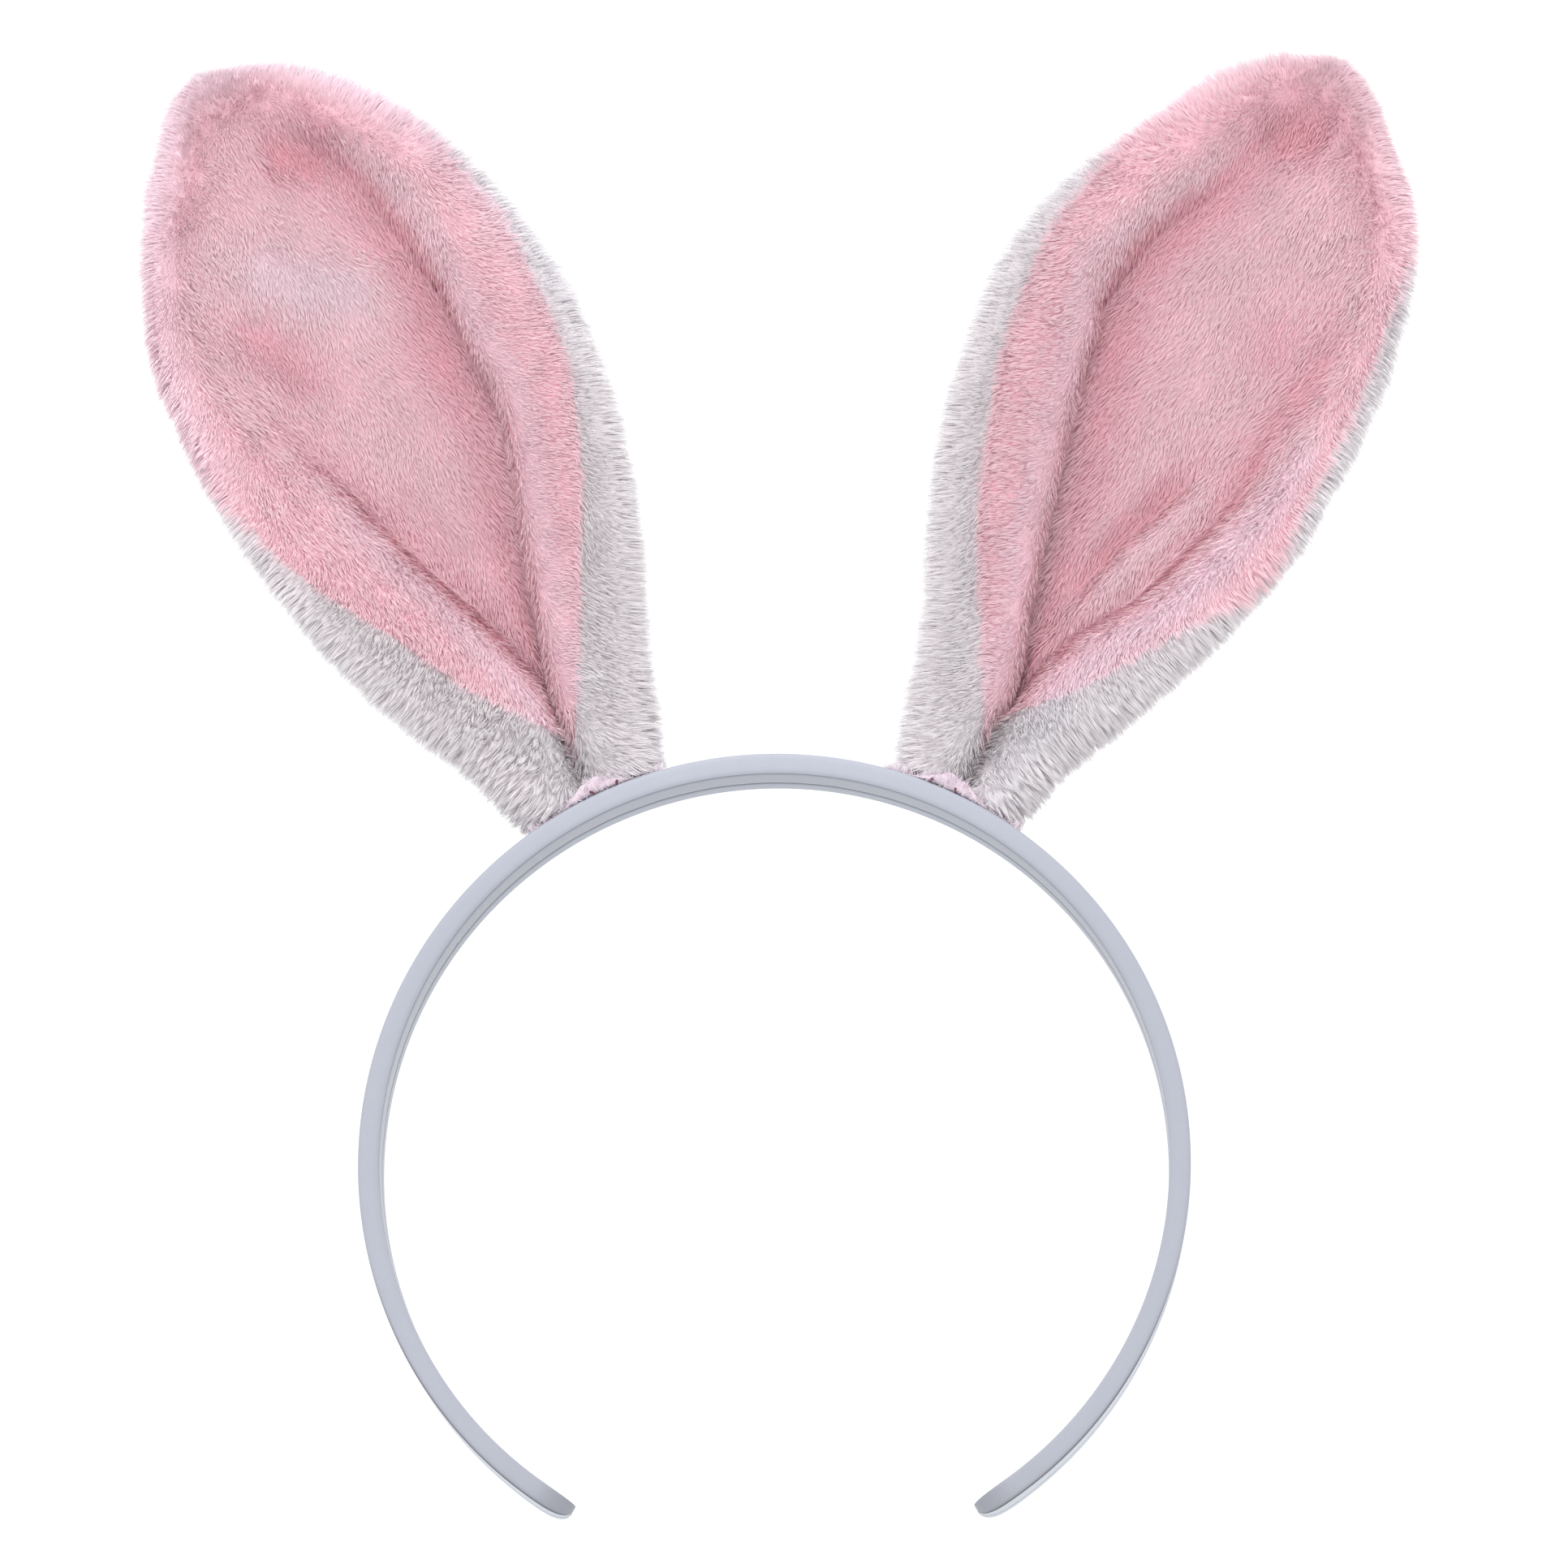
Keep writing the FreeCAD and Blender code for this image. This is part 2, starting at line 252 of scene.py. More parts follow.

# ---- the raw edge sewn to the hoop ----
# Its section: depth, share of the bunching and height. Then how its loose fibres lie: painted fold shade and
# highlight, sideways, down, length, tufting, lean, and painted shade over the middle.
KNIT_SECTION = [
    (4.6, 0, 0.25), (4.7, 0, 0.8), (2.0, 0, 0.95), (-1.0, 0, 0.95), (-3.4, 0, 1.0), (-4.2, 0.3, 1.0),
    (-4.6, 0.75, 1.0), (-4.8, 1.0, 0.95), (-5.1, 1.05, 0.95), (-5.4, 0.85, 0.9), (-5.55, 0.4, 0.7),
    (-5.5, 0.1, 0.4), (-4.8, 0, 0.2), (0.0, 0, 0.15),
]
KNIT_TOP = slice(16, 48)
KNIT_PILE = (0.0, 0.0, -0.3, 0.5, 0.6, 24.0, 0.0)
KNIT_DENSITY = 14.0
KNIT_WIDTH = 0.1


def along(pairs, z, soften=2.5):
    """A value that changes along the ear, from (height, value) pairs, its corners rounded."""
    fine = np.arange(-30, 170, 0.5)
    heights, values = zip(*pairs)
    reach = int(soften * 8)
    kernel = np.exp(-0.5 * (np.arange(-reach, reach + 1) * 0.5 / soften) ** 2)
    padded = np.pad(np.interp(fine, heights, values), reach, mode="edge")
    return np.interp(z, fine, np.convolve(padded, kernel / kernel.sum(), mode="valid"))


def smoothstep(t):
    t = np.clip(t, 0, 1)
    return t * t * (3 - 2 * t)


def unit(v):
    return v / np.maximum(np.linalg.norm(v, axis=-1, keepdims=True), 1e-9)


def walked(points):
    """Length along a line up to each of its points."""
    return np.concatenate([[0], np.cumsum(np.linalg.norm(np.diff(points, axis=0), axis=1))])


def wobble(points, wavelength, rng, waves=6):
    """Smooth unevenness from -1 to 1 over points, as a sum of seeded waves."""
    total = np.zeros(points.shape[:-1])
    for _ in range(waves):
        direction = unit(rng.normal(size=points.shape[-1])) * rng.uniform(0.7, 1.4)
        total += np.sin(points @ direction * 2 * math.pi / wavelength + rng.uniform(0, 2 * math.pi))
    return total / waves * 1.6


def closed_spline(points, steps):
    """A uniform cubic B-spline for each row of control points: (rows, points, axes)."""
    p0, p1, p2, p3 = (np.roll(points, shift, axis=1)[:, :, None, :] for shift in (1, 0, -1, -2))
    t = (np.arange(steps) / steps)[None, None, :, None]
    curve = ((1 - t) ** 3 * p0 + (3 * t ** 3 - 6 * t ** 2 + 4) * p1
             + (-3 * t ** 3 + 3 * t ** 2 + 3 * t + 1) * p2 + t ** 3 * p3) / 6
    return curve.reshape(points.shape[0], -1, points.shape[2])


def cup_depth(x, z, height):
    """Y of the ear's cupped sheet at a height forward from its back."""
    slope = math.tan(CUP_SPREAD)
    low = CUP_RADIUS + CUP_START * math.sin(CUP_SPREAD)
    apex_y = SPINE_Y - math.cos(CUP_SPREAD) * height
    rise = math.cos(CUP_SPREAD) ** 2 / math.sin(CUP_SPREAD)
    apex_z = CUP_START - low / math.sin(CUP_SPREAD) + height * rise
    run = slope * (z - apex_z)
    shape = 1 - slope ** 2
    return apex_y + (np.sqrt(np.maximum(run ** 2 - shape * x ** 2, 0)) - run) / shape


def outline_sides(ear, z, inset=SHELL_INSET):
    """The ear outline's outer and inner edge at heights z, moved in from its sides, and its tip."""
    corners = np.array(ear["outline"], float)
    inset = (inset + FOOT_INSET * np.exp(-(corners[:, 1] / FOOT_SPREAD) ** 2))[:, None]
    run = np.gradient(corners, axis=0)
    length = np.linalg.norm(run, axis=1)
    corners = corners + inset * np.stack([run[:, 1] / length, -run[:, 0] / length], 1)
    count = len(corners)
    chord = walked(corners)
    fine = np.linspace(0, chord[-1], 1200)
    tangents = np.gradient(corners, chord, axis=0)
    index = np.clip(np.searchsorted(chord, fine, side="right") - 1, 0, count - 2)
    gap = (chord[index + 1] - chord[index])[:, None]
    t = ((fine - chord[index]) / gap[:, 0])[:, None]
    curve = ((2 * t ** 3 - 3 * t ** 2 + 1) * corners[index]
             + (t ** 3 - 2 * t ** 2 + t) * gap * tangents[index]
             + (3 * t ** 2 - 2 * t ** 3) * corners[index + 1]
             + (t ** 3 - t ** 2) * gap * tangents[index + 1])
    tip = int(np.argmax(curve[:, 1]))
    outer, inner = curve[:tip + 1], curve[tip:][::-1]
    return np.interp(z, outer[:, 1], outer[:, 0]), np.interp(z, inner[:, 1], inner[:, 0]), curve[tip]


def heights_along(ear):
    """Stations along the ear, closing up towards its tip."""
    tip = outline_sides(ear, np.zeros(1))[2][1]
    body = np.arange(EAR_BASE, BODY_TOP, ROW_STEP)
    rest = 1 - np.linspace(0, 1, CAP_ROWS)[1:]
    return np.concatenate([body, tip - (tip - body[-1]) * rest ** 2])


def groove_depth(x, z, lines):
    """How far the soft folds sink the front at points of the ear, fading at their ends."""
    total = np.zeros_like(x)
    for line, width, depth in lines:
        nearest, share = np.full_like(x, 1e9), np.zeros_like(x)
        for step, ((ax, az), (bx, bz)) in enumerate(zip(line[:-1], line[1:])):
            run, rise = bx - ax, bz - az
            t = np.clip(((x - ax) * run + (z - az) * rise) / (run ** 2 + rise ** 2), 0, 1)
            distance = np.hypot(x - ax - t * run, z - az - t * rise)
            share = np.where(distance < nearest, (step + t) / (len(line) - 1), share)
            nearest = np.minimum(nearest, distance)
        fade = 0.25 + 0.75 * smoothstep(share * 4) * smoothstep((1 - share) * 4)
        total += depth * fade * np.exp(-(nearest / width) ** 2)
    return total


def ear_sections(ear, z):
    """Control points of the ear's section at each station: across, and forward from its back."""
    outer, inner, _ = outline_sides(ear, z)
    crease_i, crease_o = along(ear["inner_crease"], z), along(ear["outer_crease"], z)
    crease_o = np.minimum(crease_o, crease_i - 0.5)
    roll_i, roll_o = along(INNER_ROLL_HEIGHT, z), along(OUTER_ROLL_HEIGHT, z)
    low_i, low_o = along(INNER_CREASE_HEIGHT, z), along(OUTER_CREASE_HEIGHT, z)
    centre, undercut = along(CENTRE_HEIGHT, z), along(UNDERCUT, z)
    tenth = (inner - outer) / 10
    crease_i = np.clip(crease_i, outer + 4 * tenth, inner - 2.5 * tenth)
    crease_o = np.clip(crease_o, outer + 2 * tenth, crease_i - 0.5)
    soft_i, soft_o = along(INNER_SOFTNESS, z), along(OUTER_SOFTNESS, z)
    soft_i = np.minimum(soft_i, 0.3 * (inner - crease_i))
    soft_o = np.minimum(soft_o, 0.3 * (crease_o - outer))
    gap = crease_i - crease_o
    middle = (crease_i + crease_o) / 2
    front = [
        (outer, RIM_HEIGHT + 0 * z),
        (outer + 0.9, 0.80 * roll_o),
        (outer + 0.42 * (crease_o - outer), 1.03 * roll_o),
        (crease_o - 0.10 * (crease_o - outer) - soft_o, roll_o - 0.5),
        (crease_o - 0.3 * soft_o, low_o + 0.55 * (roll_o - low_o)),
        (crease_o + 0.5, low_o),
        (crease_o + 0.18 * gap + 0.2, low_o + 0.6 * (centre - low_o)),
        (middle - 0.12 * gap, centre),
        (middle + 0.14 * gap, centre),
        (crease_i - 0.17 * gap - 0.2, low_i + 0.5 * (centre - low_i)),
        (crease_i + 0.7 * undercut - 0.3, low_i + 0.1),
        (crease_i + undercut, low_i),
        (crease_i - 0.5 + 0.5 * (soft_i - 1), low_i + 0.62 * (roll_i - low_i)),
        (crease_i - 0.3 + soft_i, roll_i - 0.3),
        (crease_i + 0.45 * (inner - crease_i), 1.04 * roll_i),
        (inner - 0.9, 0.80 * roll_i),
        (inner, RIM_HEIGHT + 0 * z),
    ]
    back = [(inner - share * (inner - outer), 0 * z) for share in (0.16, 0.34, 0.5, 0.66, 0.84)]
    back = [(inner - 0.7, 1.1 + 0 * z), *back, (outer + 0.7, 1.1 + 0 * z)]
    control = np.stack([np.stack(pair, -1) for pair in front + back], 1)
    half = (inner - outer) / 2
    closing = np.sqrt(np.clip(1 - (1 - np.clip(half / CLOSING_HALF_WIDTH, 0, 1)) ** 2, 0, 1))
    control[..., 1] = RIM_HEIGHT + (control[..., 1] - RIM_HEIGHT) * closing[:, None]
    return control, len(front)


def resample(points, length, start, stop, count):
    """Points spaced evenly along a closed polyline between two of its lengths."""
    wanted = np.linspace(start, stop, count) % length[-1]
    return np.stack([np.interp(wanted, length, points[:, axis]) for axis in range(points.shape[1])], 1)


def ear_grids(ear):
    """The front and back panels as grids of points, with the height of each above the back."""
    z = heights_along(ear)
    control, front_count = ear_sections(ear, z)
    dense = closed_spline(control, SECTION_STEPS)
    pink_o, pink_i = along(ear["pink_outer"], z, 1.5), along(ear["pink_inner"], z, 1.5)
    outer, inner, _ = outline_sides(ear, z)
    last = (front_count - 1) * SECTION_STEPS
    front, back = [], []
    for row, height in enumerate(z):
        loop = np.concatenate([dense[row], dense[row][:1]])
        x = loop[:, 0]
        points = np.stack([x, cup_depth(x, height, loop[:, 1]), np.full_like(x, height), loop[:, 1]], 1)
        length = walked(points[:, :2])
        near = min(1.0, 0.3 * (inner[row] - outer[row]))

        def crossing(value, index):
            share = np.clip((value - x[index - 1]) / max(x[index] - x[index - 1], 1e-6), 0, 1)
            return length[index - 1] + share * (length[index] - length[index - 1])

        def from_rim(inward, at_near):
            share = np.clip((inward + 0.5) / (near + 0.5), 0, 1)
            return share * at_near + (1 - share) * min(inward, -0.5)

        inward_o, inward_i = pink_o[row] - outer[row], inner[row] - pink_i[row]
        value = outer[row] + max(inward_o, near)
        start = crossing(value, int(np.argmax(x[1:last] >= value)) + 1)
        if inward_o < near:
            start = from_rim(inward_o, start)
        value = inner[row] - max(inward_i, near)
        stop = crossing(value, last - int(np.argmax(x[:last][::-1] <= value)))
        if inward_i < near:
            stop = length[last] - from_rim(inward_i, length[last] - stop)
        stop = max(stop, start + 1e-3)
        front.append(resample(points, length, start, stop, FRONT_COLUMNS + 1))
        back.append(resample(points, length, stop, start + length[-1], BACK_COLUMNS + 1))
    return np.array(front), np.array(back)


def grid_normals(grid):
    return unit(np.cross(np.gradient(grid, axis=1), np.gradient(grid, axis=0)))


def ring_normals(points):
    """Normals of a grid whose columns close into rings."""
    return grid_normals(np.concatenate([points[:, -1:], points, points[:, :1]], 1))[:, 1:-1]


def ear_shell(ear):
    """Front and back panels with folds, unevenness and a rounded foot, and the foot's rows."""
    front, back = ear_grids(ear)
    whole = np.concatenate([front[:, :-1], back[:, :-1]], 1)
    points, height = whole[..., :3].copy(), whole[..., 3]
    normals = ring_normals(points)
    rng = np.random.default_rng(ear["seed"])
    facing = smoothstep((height - 3.0) / 3.0)
    fade = smoothstep((points[..., 2] - 8) / 20) * smoothstep((134 - points[..., 2]) / 10)
    sunk = groove_depth(points[..., 0], points[..., 2], ear["grooves"])
    uneven = sum(size * wobble(points, wavelength, rng) for size, wavelength in UNEVENNESS)
    points -= normals * (sunk * facing * fade)[..., None]
    points += normals * uneven[..., None]
    droop = (points[..., 0] ** 2) / (2 * HOOP_RADIUS) * (1 - smoothstep(points[..., 2] / 16))
    points[..., 2] -= droop
    # the foot: the cloth turns under, closes and lies on the hoop
    foot = []
    base, base_normal = points[0], normals[0].copy()
    base_normal[:, 2] = 0
    base_normal = unit(base_normal)
    for turn in (math.radians(a) for a in (90, 60, 30)):
        ring_points = base - base_normal * FOOT_RADIUS * (1 - math.cos(turn))
        ring_points[:, 2] -= FOOT_RADIUS * math.sin(turn)
        foot.append(ring_points)
    middle = foot[0].mean(0)
    for wide, deep in ((0.8, 0.5), (0.5, 0.04)):
        closing = middle + (foot[0] - middle) * [1, deep, 1]
        closing[:, 0] = middle[0] + (closing[:, 0] - middle[0]) * wide
        closing[:, 2] = EAR_BASE - FOOT_RADIUS - closing[:, 0] ** 2 / (2 * HOOP_RADIUS)
        foot.insert(0, closing)
    points = np.concatenate([np.array(foot), points], 0)
    normals = ring_normals(points)
    style = pile_style(ear, whole, facing)
    style = np.concatenate([np.repeat(style[:1], len(foot), 0), style], 0)
    panels = {}
    for name, columns in (("front", range(0, FRONT_COLUMNS + 1)),
                          ("back", range(FRONT_COLUMNS, FRONT_COLUMNS + BACK_COLUMNS + 1))):
        columns = np.array(columns) % points.shape[1]
        up = points[:, columns, 2] / UV_LENGTH + 0.02
        across = np.broadcast_to(np.linspace(0.02, 0.97, len(columns)), up.shape)
        panels[name] = {"points": points[:, columns], "normals": normals[:, columns],
                        "style": style[:, columns], "uv": np.stack([across, up], -1)}
    return panels, len(foot)


def fold_shade(ear, whole, facing):
    """How deep in a fold each point of the front lies, as painted shade up to 1, or along a fold's top, as
    painted highlight down to -1.
    """
    x, z, height = whole[..., 0], whole[..., 2], whole[..., 3]
    past_inner, past_outer = x - along(ear["inner_crease"], z), along(ear["outer_crease"], z) - x
    deep, ridges = [], []
    for past, low_table, roll_table, spread, strength, (crown, crown_width, crown_share) in (
            (past_inner, INNER_CREASE_HEIGHT, INNER_ROLL_HEIGHT, along(INNER_SHADE_REACH, z),
             along(INNER_SHADE, z), INNER_CROWN),
            (past_outer, OUTER_CREASE_HEIGHT, OUTER_ROLL_HEIGHT, OUTER_SHADE_REACH,
             along(ear["outer_shade"], z), ear["outer_crown"])):
        low = along(low_table, z)
        up = np.clip((height - low) / np.maximum(along(roll_table, z) - low, 2), 0, 1)
        near = np.exp(-(past / np.where(past < 0, spread, 1.6)) ** 2) * (1 - smoothstep(1.5 * up - 0.3))
        deep.append(near * strength)
        crest = np.exp(-((past - crown) / crown_width) ** 2)
        ridges.append(crown_share * crest * smoothstep(2 * up - 1) * strength)
    sinking = [groove for groove in ear["grooves"] if groove[2] > 0]
    rising = [groove for groove in ear["grooves"] if groove[2] < 0]
    deep.append(np.clip(groove_depth(x, z, sinking) / 2.2, 0, 1))
    ridge = np.maximum(*ridges) - groove_depth(x, z, rising) / 1.6
    return np.clip(np.clip(np.maximum.reduce(deep), 0, 1) - 0.8 * ridge, -1, 1) * facing


def pile_style(ear, whole, facing):
    """How the pile lies at each point: painted fold shade and highlight, sideways, down, length, tufting,
    lean, and painted shade over the front's middle.
    """
    x, z = whole[..., 0], whole[..., 2]
    outer, inner, tip = outline_sides(ear, z)
    creased_i, creased_o = along(ear["inner_crease"], z), along(ear["outer_crease"], z)
    on_inner = smoothstep((x - creased_i) / (1.5 + 1.5 * along(INNER_SOFTNESS, z))) * facing
    on_outer = smoothstep((creased_o - x) / (1.5 + 1.5 * along(OUTER_SOFTNESS, z))) * facing
    across = np.clip((2 * x - inner - outer) / np.maximum(inner - outer, 4), -1, 1)
    edge = np.minimum(np.minimum(x - outer, inner - x), tip[1] - z)
    rim = smoothstep(1 - edge / RIM_REACH)
    fringe = smoothstep(1 - edge / FRINGE_REACH)
    top = smoothstep((z - 96) / 34) * smoothstep(1 - edge / (2 * RIM_REACH))
    past_outer, past_inner = x - along(ear["pink_outer"], z), along(ear["pink_inner"], z) - x
    white = 1 - smoothstep(past_outer / 2) * smoothstep(past_inner / 2) * facing
    low = smoothstep((70 - z) / 30)
    neck = smoothstep((20 - z) / 12)
    fading = 1 - 0.6 * smoothstep((z - 70) / 40)
    combed = 0.95 * on_inner * (1 - 0.45 * white) - 0.85 * on_outer * (0.45 + 0.55 * white)
    sideways = combed * fading + 0.5 * across * (1 - facing) + across * rim * (0.6 + 0.6 * top)
    down = -1 + 0.3 * np.abs(sideways) + 1.5 * top
    length = 0.72 + 0.12 * (on_inner + on_outer) + 0.36 * white + 0.12 * white * low * on_outer
    length *= 1 - 0.12 * smoothstep((9 - z) / 8)
    tufts = 0.03 + 0.03 * (on_inner + on_outer) + 0.3 * fringe * (1 - 0.6 * top)
    tufts = tufts + ear["outer_tufted"] * on_outer * low
    tufts += white * (0.24 * low * on_outer + 0.26 * neck) + ear["tufted"] * on_inner * (1 - white)
    lean = 42 - 14 * white - 10 * rim + 24 * smoothstep((6 - z) / 4)
    # painted highlight: paler along the rim high up the ear, and near its tip
    pale = ear["rim_highlight"] * rim * smoothstep((z - 55) / 30) + 0.15 * top
    shade = np.clip(fold_shade(ear, whole, facing) - pale, -1, 1)
    # painted shade over the middle of the front, between the rolls
    middle_shade = (1 - on_inner) * (1 - on_outer) * facing
    return np.stack([shade, sideways, down, length, tufts, lean, middle_shade], -1)


def place_ear(points, side):
    """Moves points from an ear's own axes in millimetres to the row frame in metres."""
    turn_cos, turn_sin = math.cos(LEAN), math.sin(LEAN)
    x, z = points[..., 0], points[..., 2] + HOOP_RADIUS
    across = turn_cos * x - turn_sin * z
    if side == "right":
        across = -across
    return np.stack([across, points[..., 1], turn_sin * x + turn_cos * z], -1) * MM


def new_mesh(name, vertices, faces, uv=None, values=None, flip=False):
    """A mesh from vertices in metres and groups of faces, with a UV map and point values."""
    mesh = bpy.data.meshes.new(name)
    groups = [np.asarray(group) for group in faces if len(group)]
    if flip:
        groups = [group[:, ::-1] for group in groups]
    corners = np.concatenate([group.ravel() for group in groups])
    sizes = np.concatenate([np.full(len(group), group.shape[1]) for group in groups])
    mesh.vertices.add(len(vertices))
    mesh.vertices.foreach_set("co", np.asarray(vertices, np.float32).ravel())
    mesh.loops.add(len(corners))
    mesh.loops.foreach_set("vertex_index", corners.astype(np.int32))
    mesh.polygons.add(len(sizes))
    mesh.polygons.foreach_set("loop_start", (np.cumsum(sizes) - sizes).astype(np.int32))
    mesh.polygons.foreach_set("use_smooth", np.ones(len(sizes), bool))
    mesh.update(calc_edges=True)
    if uv is not None:
        layer = mesh.uv_layers.new(name=UV_NAME)
        layer.data.foreach_set("uv", np.asarray(uv, np.float32)[corners].ravel())
    for key, value in (values or {}).items():
        attribute = mesh.attributes.new(key, "FLOAT", "POINT")
        attribute.data.foreach_set("value", np.asarray(value, np.float32).ravel())
    mesh.validate()
    obj = bpy.data.objects.new(name, mesh)
    bpy.context.scene.collection.objects.link(obj)
    return obj


def ear_mesh(name, side, points, faces, material, uv=None, values=None):
    """A mesh of one material from points in an ear's own axes."""
    obj = new_mesh(name, place_ear(points, side), faces, uv, values, flip=side == "right")
    obj.data.materials.append(material)
    return obj


def grid_faces(rows, columns, offset=0, wrap=False):
    """Quads over a grid of vertices laid out row by row."""
    spans = columns if wrap else columns - 1
    r, c = np.meshgrid(np.arange(rows - 1) * columns, np.arange(spans), indexing="ij")
    following = (c + 1) % columns
    quads = np.stack([r + c, r + following, r + columns + following, r + columns + c], -1)
    return quads.reshape(-1, 4) + offset


def ring_ends(rows, columns):
    """Triangles from a wrapped grid's first and last rings to two vertices placed after it."""
    i = np.arange(columns)
    j = (i + 1) % columns
    top = (rows - 1) * columns
    first = np.stack([j, i, np.full(columns, rows * columns)], -1)
    last = np.stack([i + top, j + top, np.full(columns, rows * columns + 1)], -1)
    return np.concatenate([first, last])


def closed_rings(points):
    """Vertices, quads and end triangles of a solid made of rings of points."""
    rows, columns = points.shape[:2]
    ends = np.stack([points[0].mean(0), points[-1].mean(0)])
    vertices = np.concatenate([points.reshape(-1, 3), ends])
    return vertices, grid_faces(rows, columns, wrap=True), ring_ends(rows, columns)


def thick_sheet(points, normals, thickness):
    """Vertices and quads of a grid made thick inwards, with separate walls along its edges."""
    rows, columns = points.shape[:2]
    count = rows * columns
    under = points - normals * thickness
    index = np.arange(count).reshape(rows, columns)
    rim = np.concatenate([index[0, :], index[1:, -1], index[-1, -2::-1], index[-2:0:-1, 0]])
    source = np.concatenate([np.arange(2 * count), rim, rim + count])
    vertices = np.concatenate([points.reshape(-1, 3), under.reshape(-1, 3)])[source]
    edge = np.arange(len(rim)) + 2 * count
    following = np.roll(edge, -1)
    wall = np.stack([following, edge, edge + len(rim), following + len(rim)], -1)
    quads = np.concatenate([grid_faces(rows, columns), grid_faces(rows, columns, count)[:, ::-1], wall])
    return vertices, quads, source % count


def pile(part, density, width, rng):
    """Strands of plush pile over a grid: vertices, quads, tips, UVs, and each vertex's values."""
    points, normals, style, uv = (part[key] for key in ("points", "normals", "style", "uv"))
    a, b, c, d = points[:-1, :-1], points[:-1, 1:], points[1:, 1:], points[1:, :-1]
    area = np.linalg.norm(np.cross(c - a, d - b), axis=-1) / 2
    share = area.ravel() / area.sum()

    def scatter(count):
        cell = rng.choice(len(share), count, p=share)
        row, column = np.unravel_index(cell, area.shape)
        s, t = rng.random(count)[:, None], rng.random(count)[:, None]

        def blend(values):
            low = values[row, column] * (1 - s) + values[row, column + 1] * s
            high = values[row + 1, column] * (1 - s) + values[row + 1, column + 1] * s
            return low * (1 - t) + high * t

        root, normal, look = blend(points), unit(blend(normals)), blend(style)
        swirl = 0.25 * wobble(root, 18, np.random.default_rng(5))
        swirl += 0.2 * wobble(root, 6, np.random.default_rng(6))
        comb = np.stack([look[:, 1] + swirl, 0.4 * swirl, look[:, 2]], 1)
        comb += COMB_SPREAD * rng.normal(size=root.shape)
        comb -= normal * (comb * normal).sum(1, keepdims=True)
        return root, normal, comb, look, blend(uv)

    def leaning(normal, comb, degrees):
        angle = np.radians(degrees)[:, None]
        return unit(normal * np.cos(angle) + comb * np.sin(angle))

    count = int(area.sum() * density)
    root, normal, comb, look, place = scatter(count)
    lean = look[:, 5] + rng.uniform(-LEAN_SPREAD, LEAN_SPREAD, count)
    length = PILE_LENGTH * look[:, 3] * rng.uniform(0.75, 1.15, count)
    length *= 1 + 0.12 * wobble(root, 7, np.random.default_rng(7))
    start = root - normal * PILE_SUNK
    middle = start + leaning(normal, comb, lean) * (0.5 * length)[:, None]
    tip = middle + leaning(normal, comb, lean + PILE_CURL) * (0.5 * length)[:, None]

    centres, centre_normal, centre_comb, centre_look, _ = scatter(max(8, int(area.sum() * CLUMP_DENSITY)))
    centre_comb = centre_comb + 0.25 * rng.normal(size=centres.shape)
    reach = PILE_LENGTH * centre_look[:, 3:4]
    gathered = centres + leaning(centre_normal, centre_comb, centre_look[:, 5] + 10) * reach
    nearest = nearest_point(root, centres)
    close = np.exp(-(np.linalg.norm(root - centres[nearest], axis=1) / CLUMP_RADIUS) ** 2)
    tightness = (look[:, 4] * close * (0.5 + rng.random(len(centres))[nearest]))[:, None]
    pull = gathered[nearest] - tip
    tip = tip + pull * tightness
    middle = middle + pull * 0.35 * tightness

    run = unit(tip - start)
    flat = unit(np.cross(run, normal))
    twist = rng.uniform(-1, 1, (count, 1)) * (1.1 - 0.75 * np.abs(normal[:, 1:2]))
    wide = flat * np.cos(twist) + np.cross(run, flat) * np.sin(twist)
    half = wide * (width / 2 * rng.uniform(0.75, 1.25, count))[:, None]
    vertices = np.stack([start - half, start + half, middle + half * 0.85, middle - half * 0.85, tip], 1)
    lowest = PILE_FLOOR - vertices[..., 0] ** 2 / (2 * HOOP_RADIUS)
    vertices[..., 2] = np.maximum(vertices[..., 2], lowest)
    index = np.arange(count)[:, None] * 5
    values = {
        "pile_tip": np.tile([0.0, 0.0, 0.55, 0.55, 1.0], count),
        "pile_tone": np.repeat(rng.random(count), 5),
        "pile_fold_shade": np.repeat(look[:, 0], 5),
        "pile_middle_shade": np.repeat(look[:, 6], 5),
    }
    uv = (place[:, None, :] + STRAND_UV).reshape(-1, 2)
    return vertices.reshape(-1, 3), index + [0, 1, 2, 3], index + [3, 2, 4], uv, values


def nearest_point(points, centres):
    """Index of the nearest centre to each point."""
    tree = kdtree.KDTree(len(centres))
    for number, centre in enumerate(centres.tolist()):
        tree.insert(centre, number)
    tree.balance()
    return np.array([tree.find(point)[1] for point in points.tolist()])


def plush_piece(name, side, part, first_row, density, material, rng):
    """A piece of cloth with its pile: part is its grid, and the pile starts at a row of it."""
    cloth, quads, source = thick_sheet(part["points"], part["normals"], CLOTH_THICKNESS)
    look = part["style"].reshape(-1, part["style"].shape[-1])[source]
    # the cloth under the pile takes the same painted fold shade, highlight and middle shade, and a little
    # painted root shade
    values = {"pile_tip": np.full(len(cloth), 0.25), "pile_tone": np.full(len(cloth), 0.5),
              "pile_fold_shade": look[:, 0], "pile_middle_shade": look[:, 6]}
    uv = part["uv"].reshape(-1, 2)[source]
    above = {key: value[first_row:] for key, value in part.items()}
    strands, strand_quads, tips, strand_uv, strand_values = pile(above, density, PILE_WIDTH, rng)
    offset = len(cloth)
    merged = {key: np.concatenate([values[key], strand_values[key]]) for key in values}
    return ear_mesh(name, side, np.concatenate([cloth, strands]),
                    [quads, strand_quads + offset, tips + offset], material,
                    np.concatenate([uv, strand_uv]), merged)


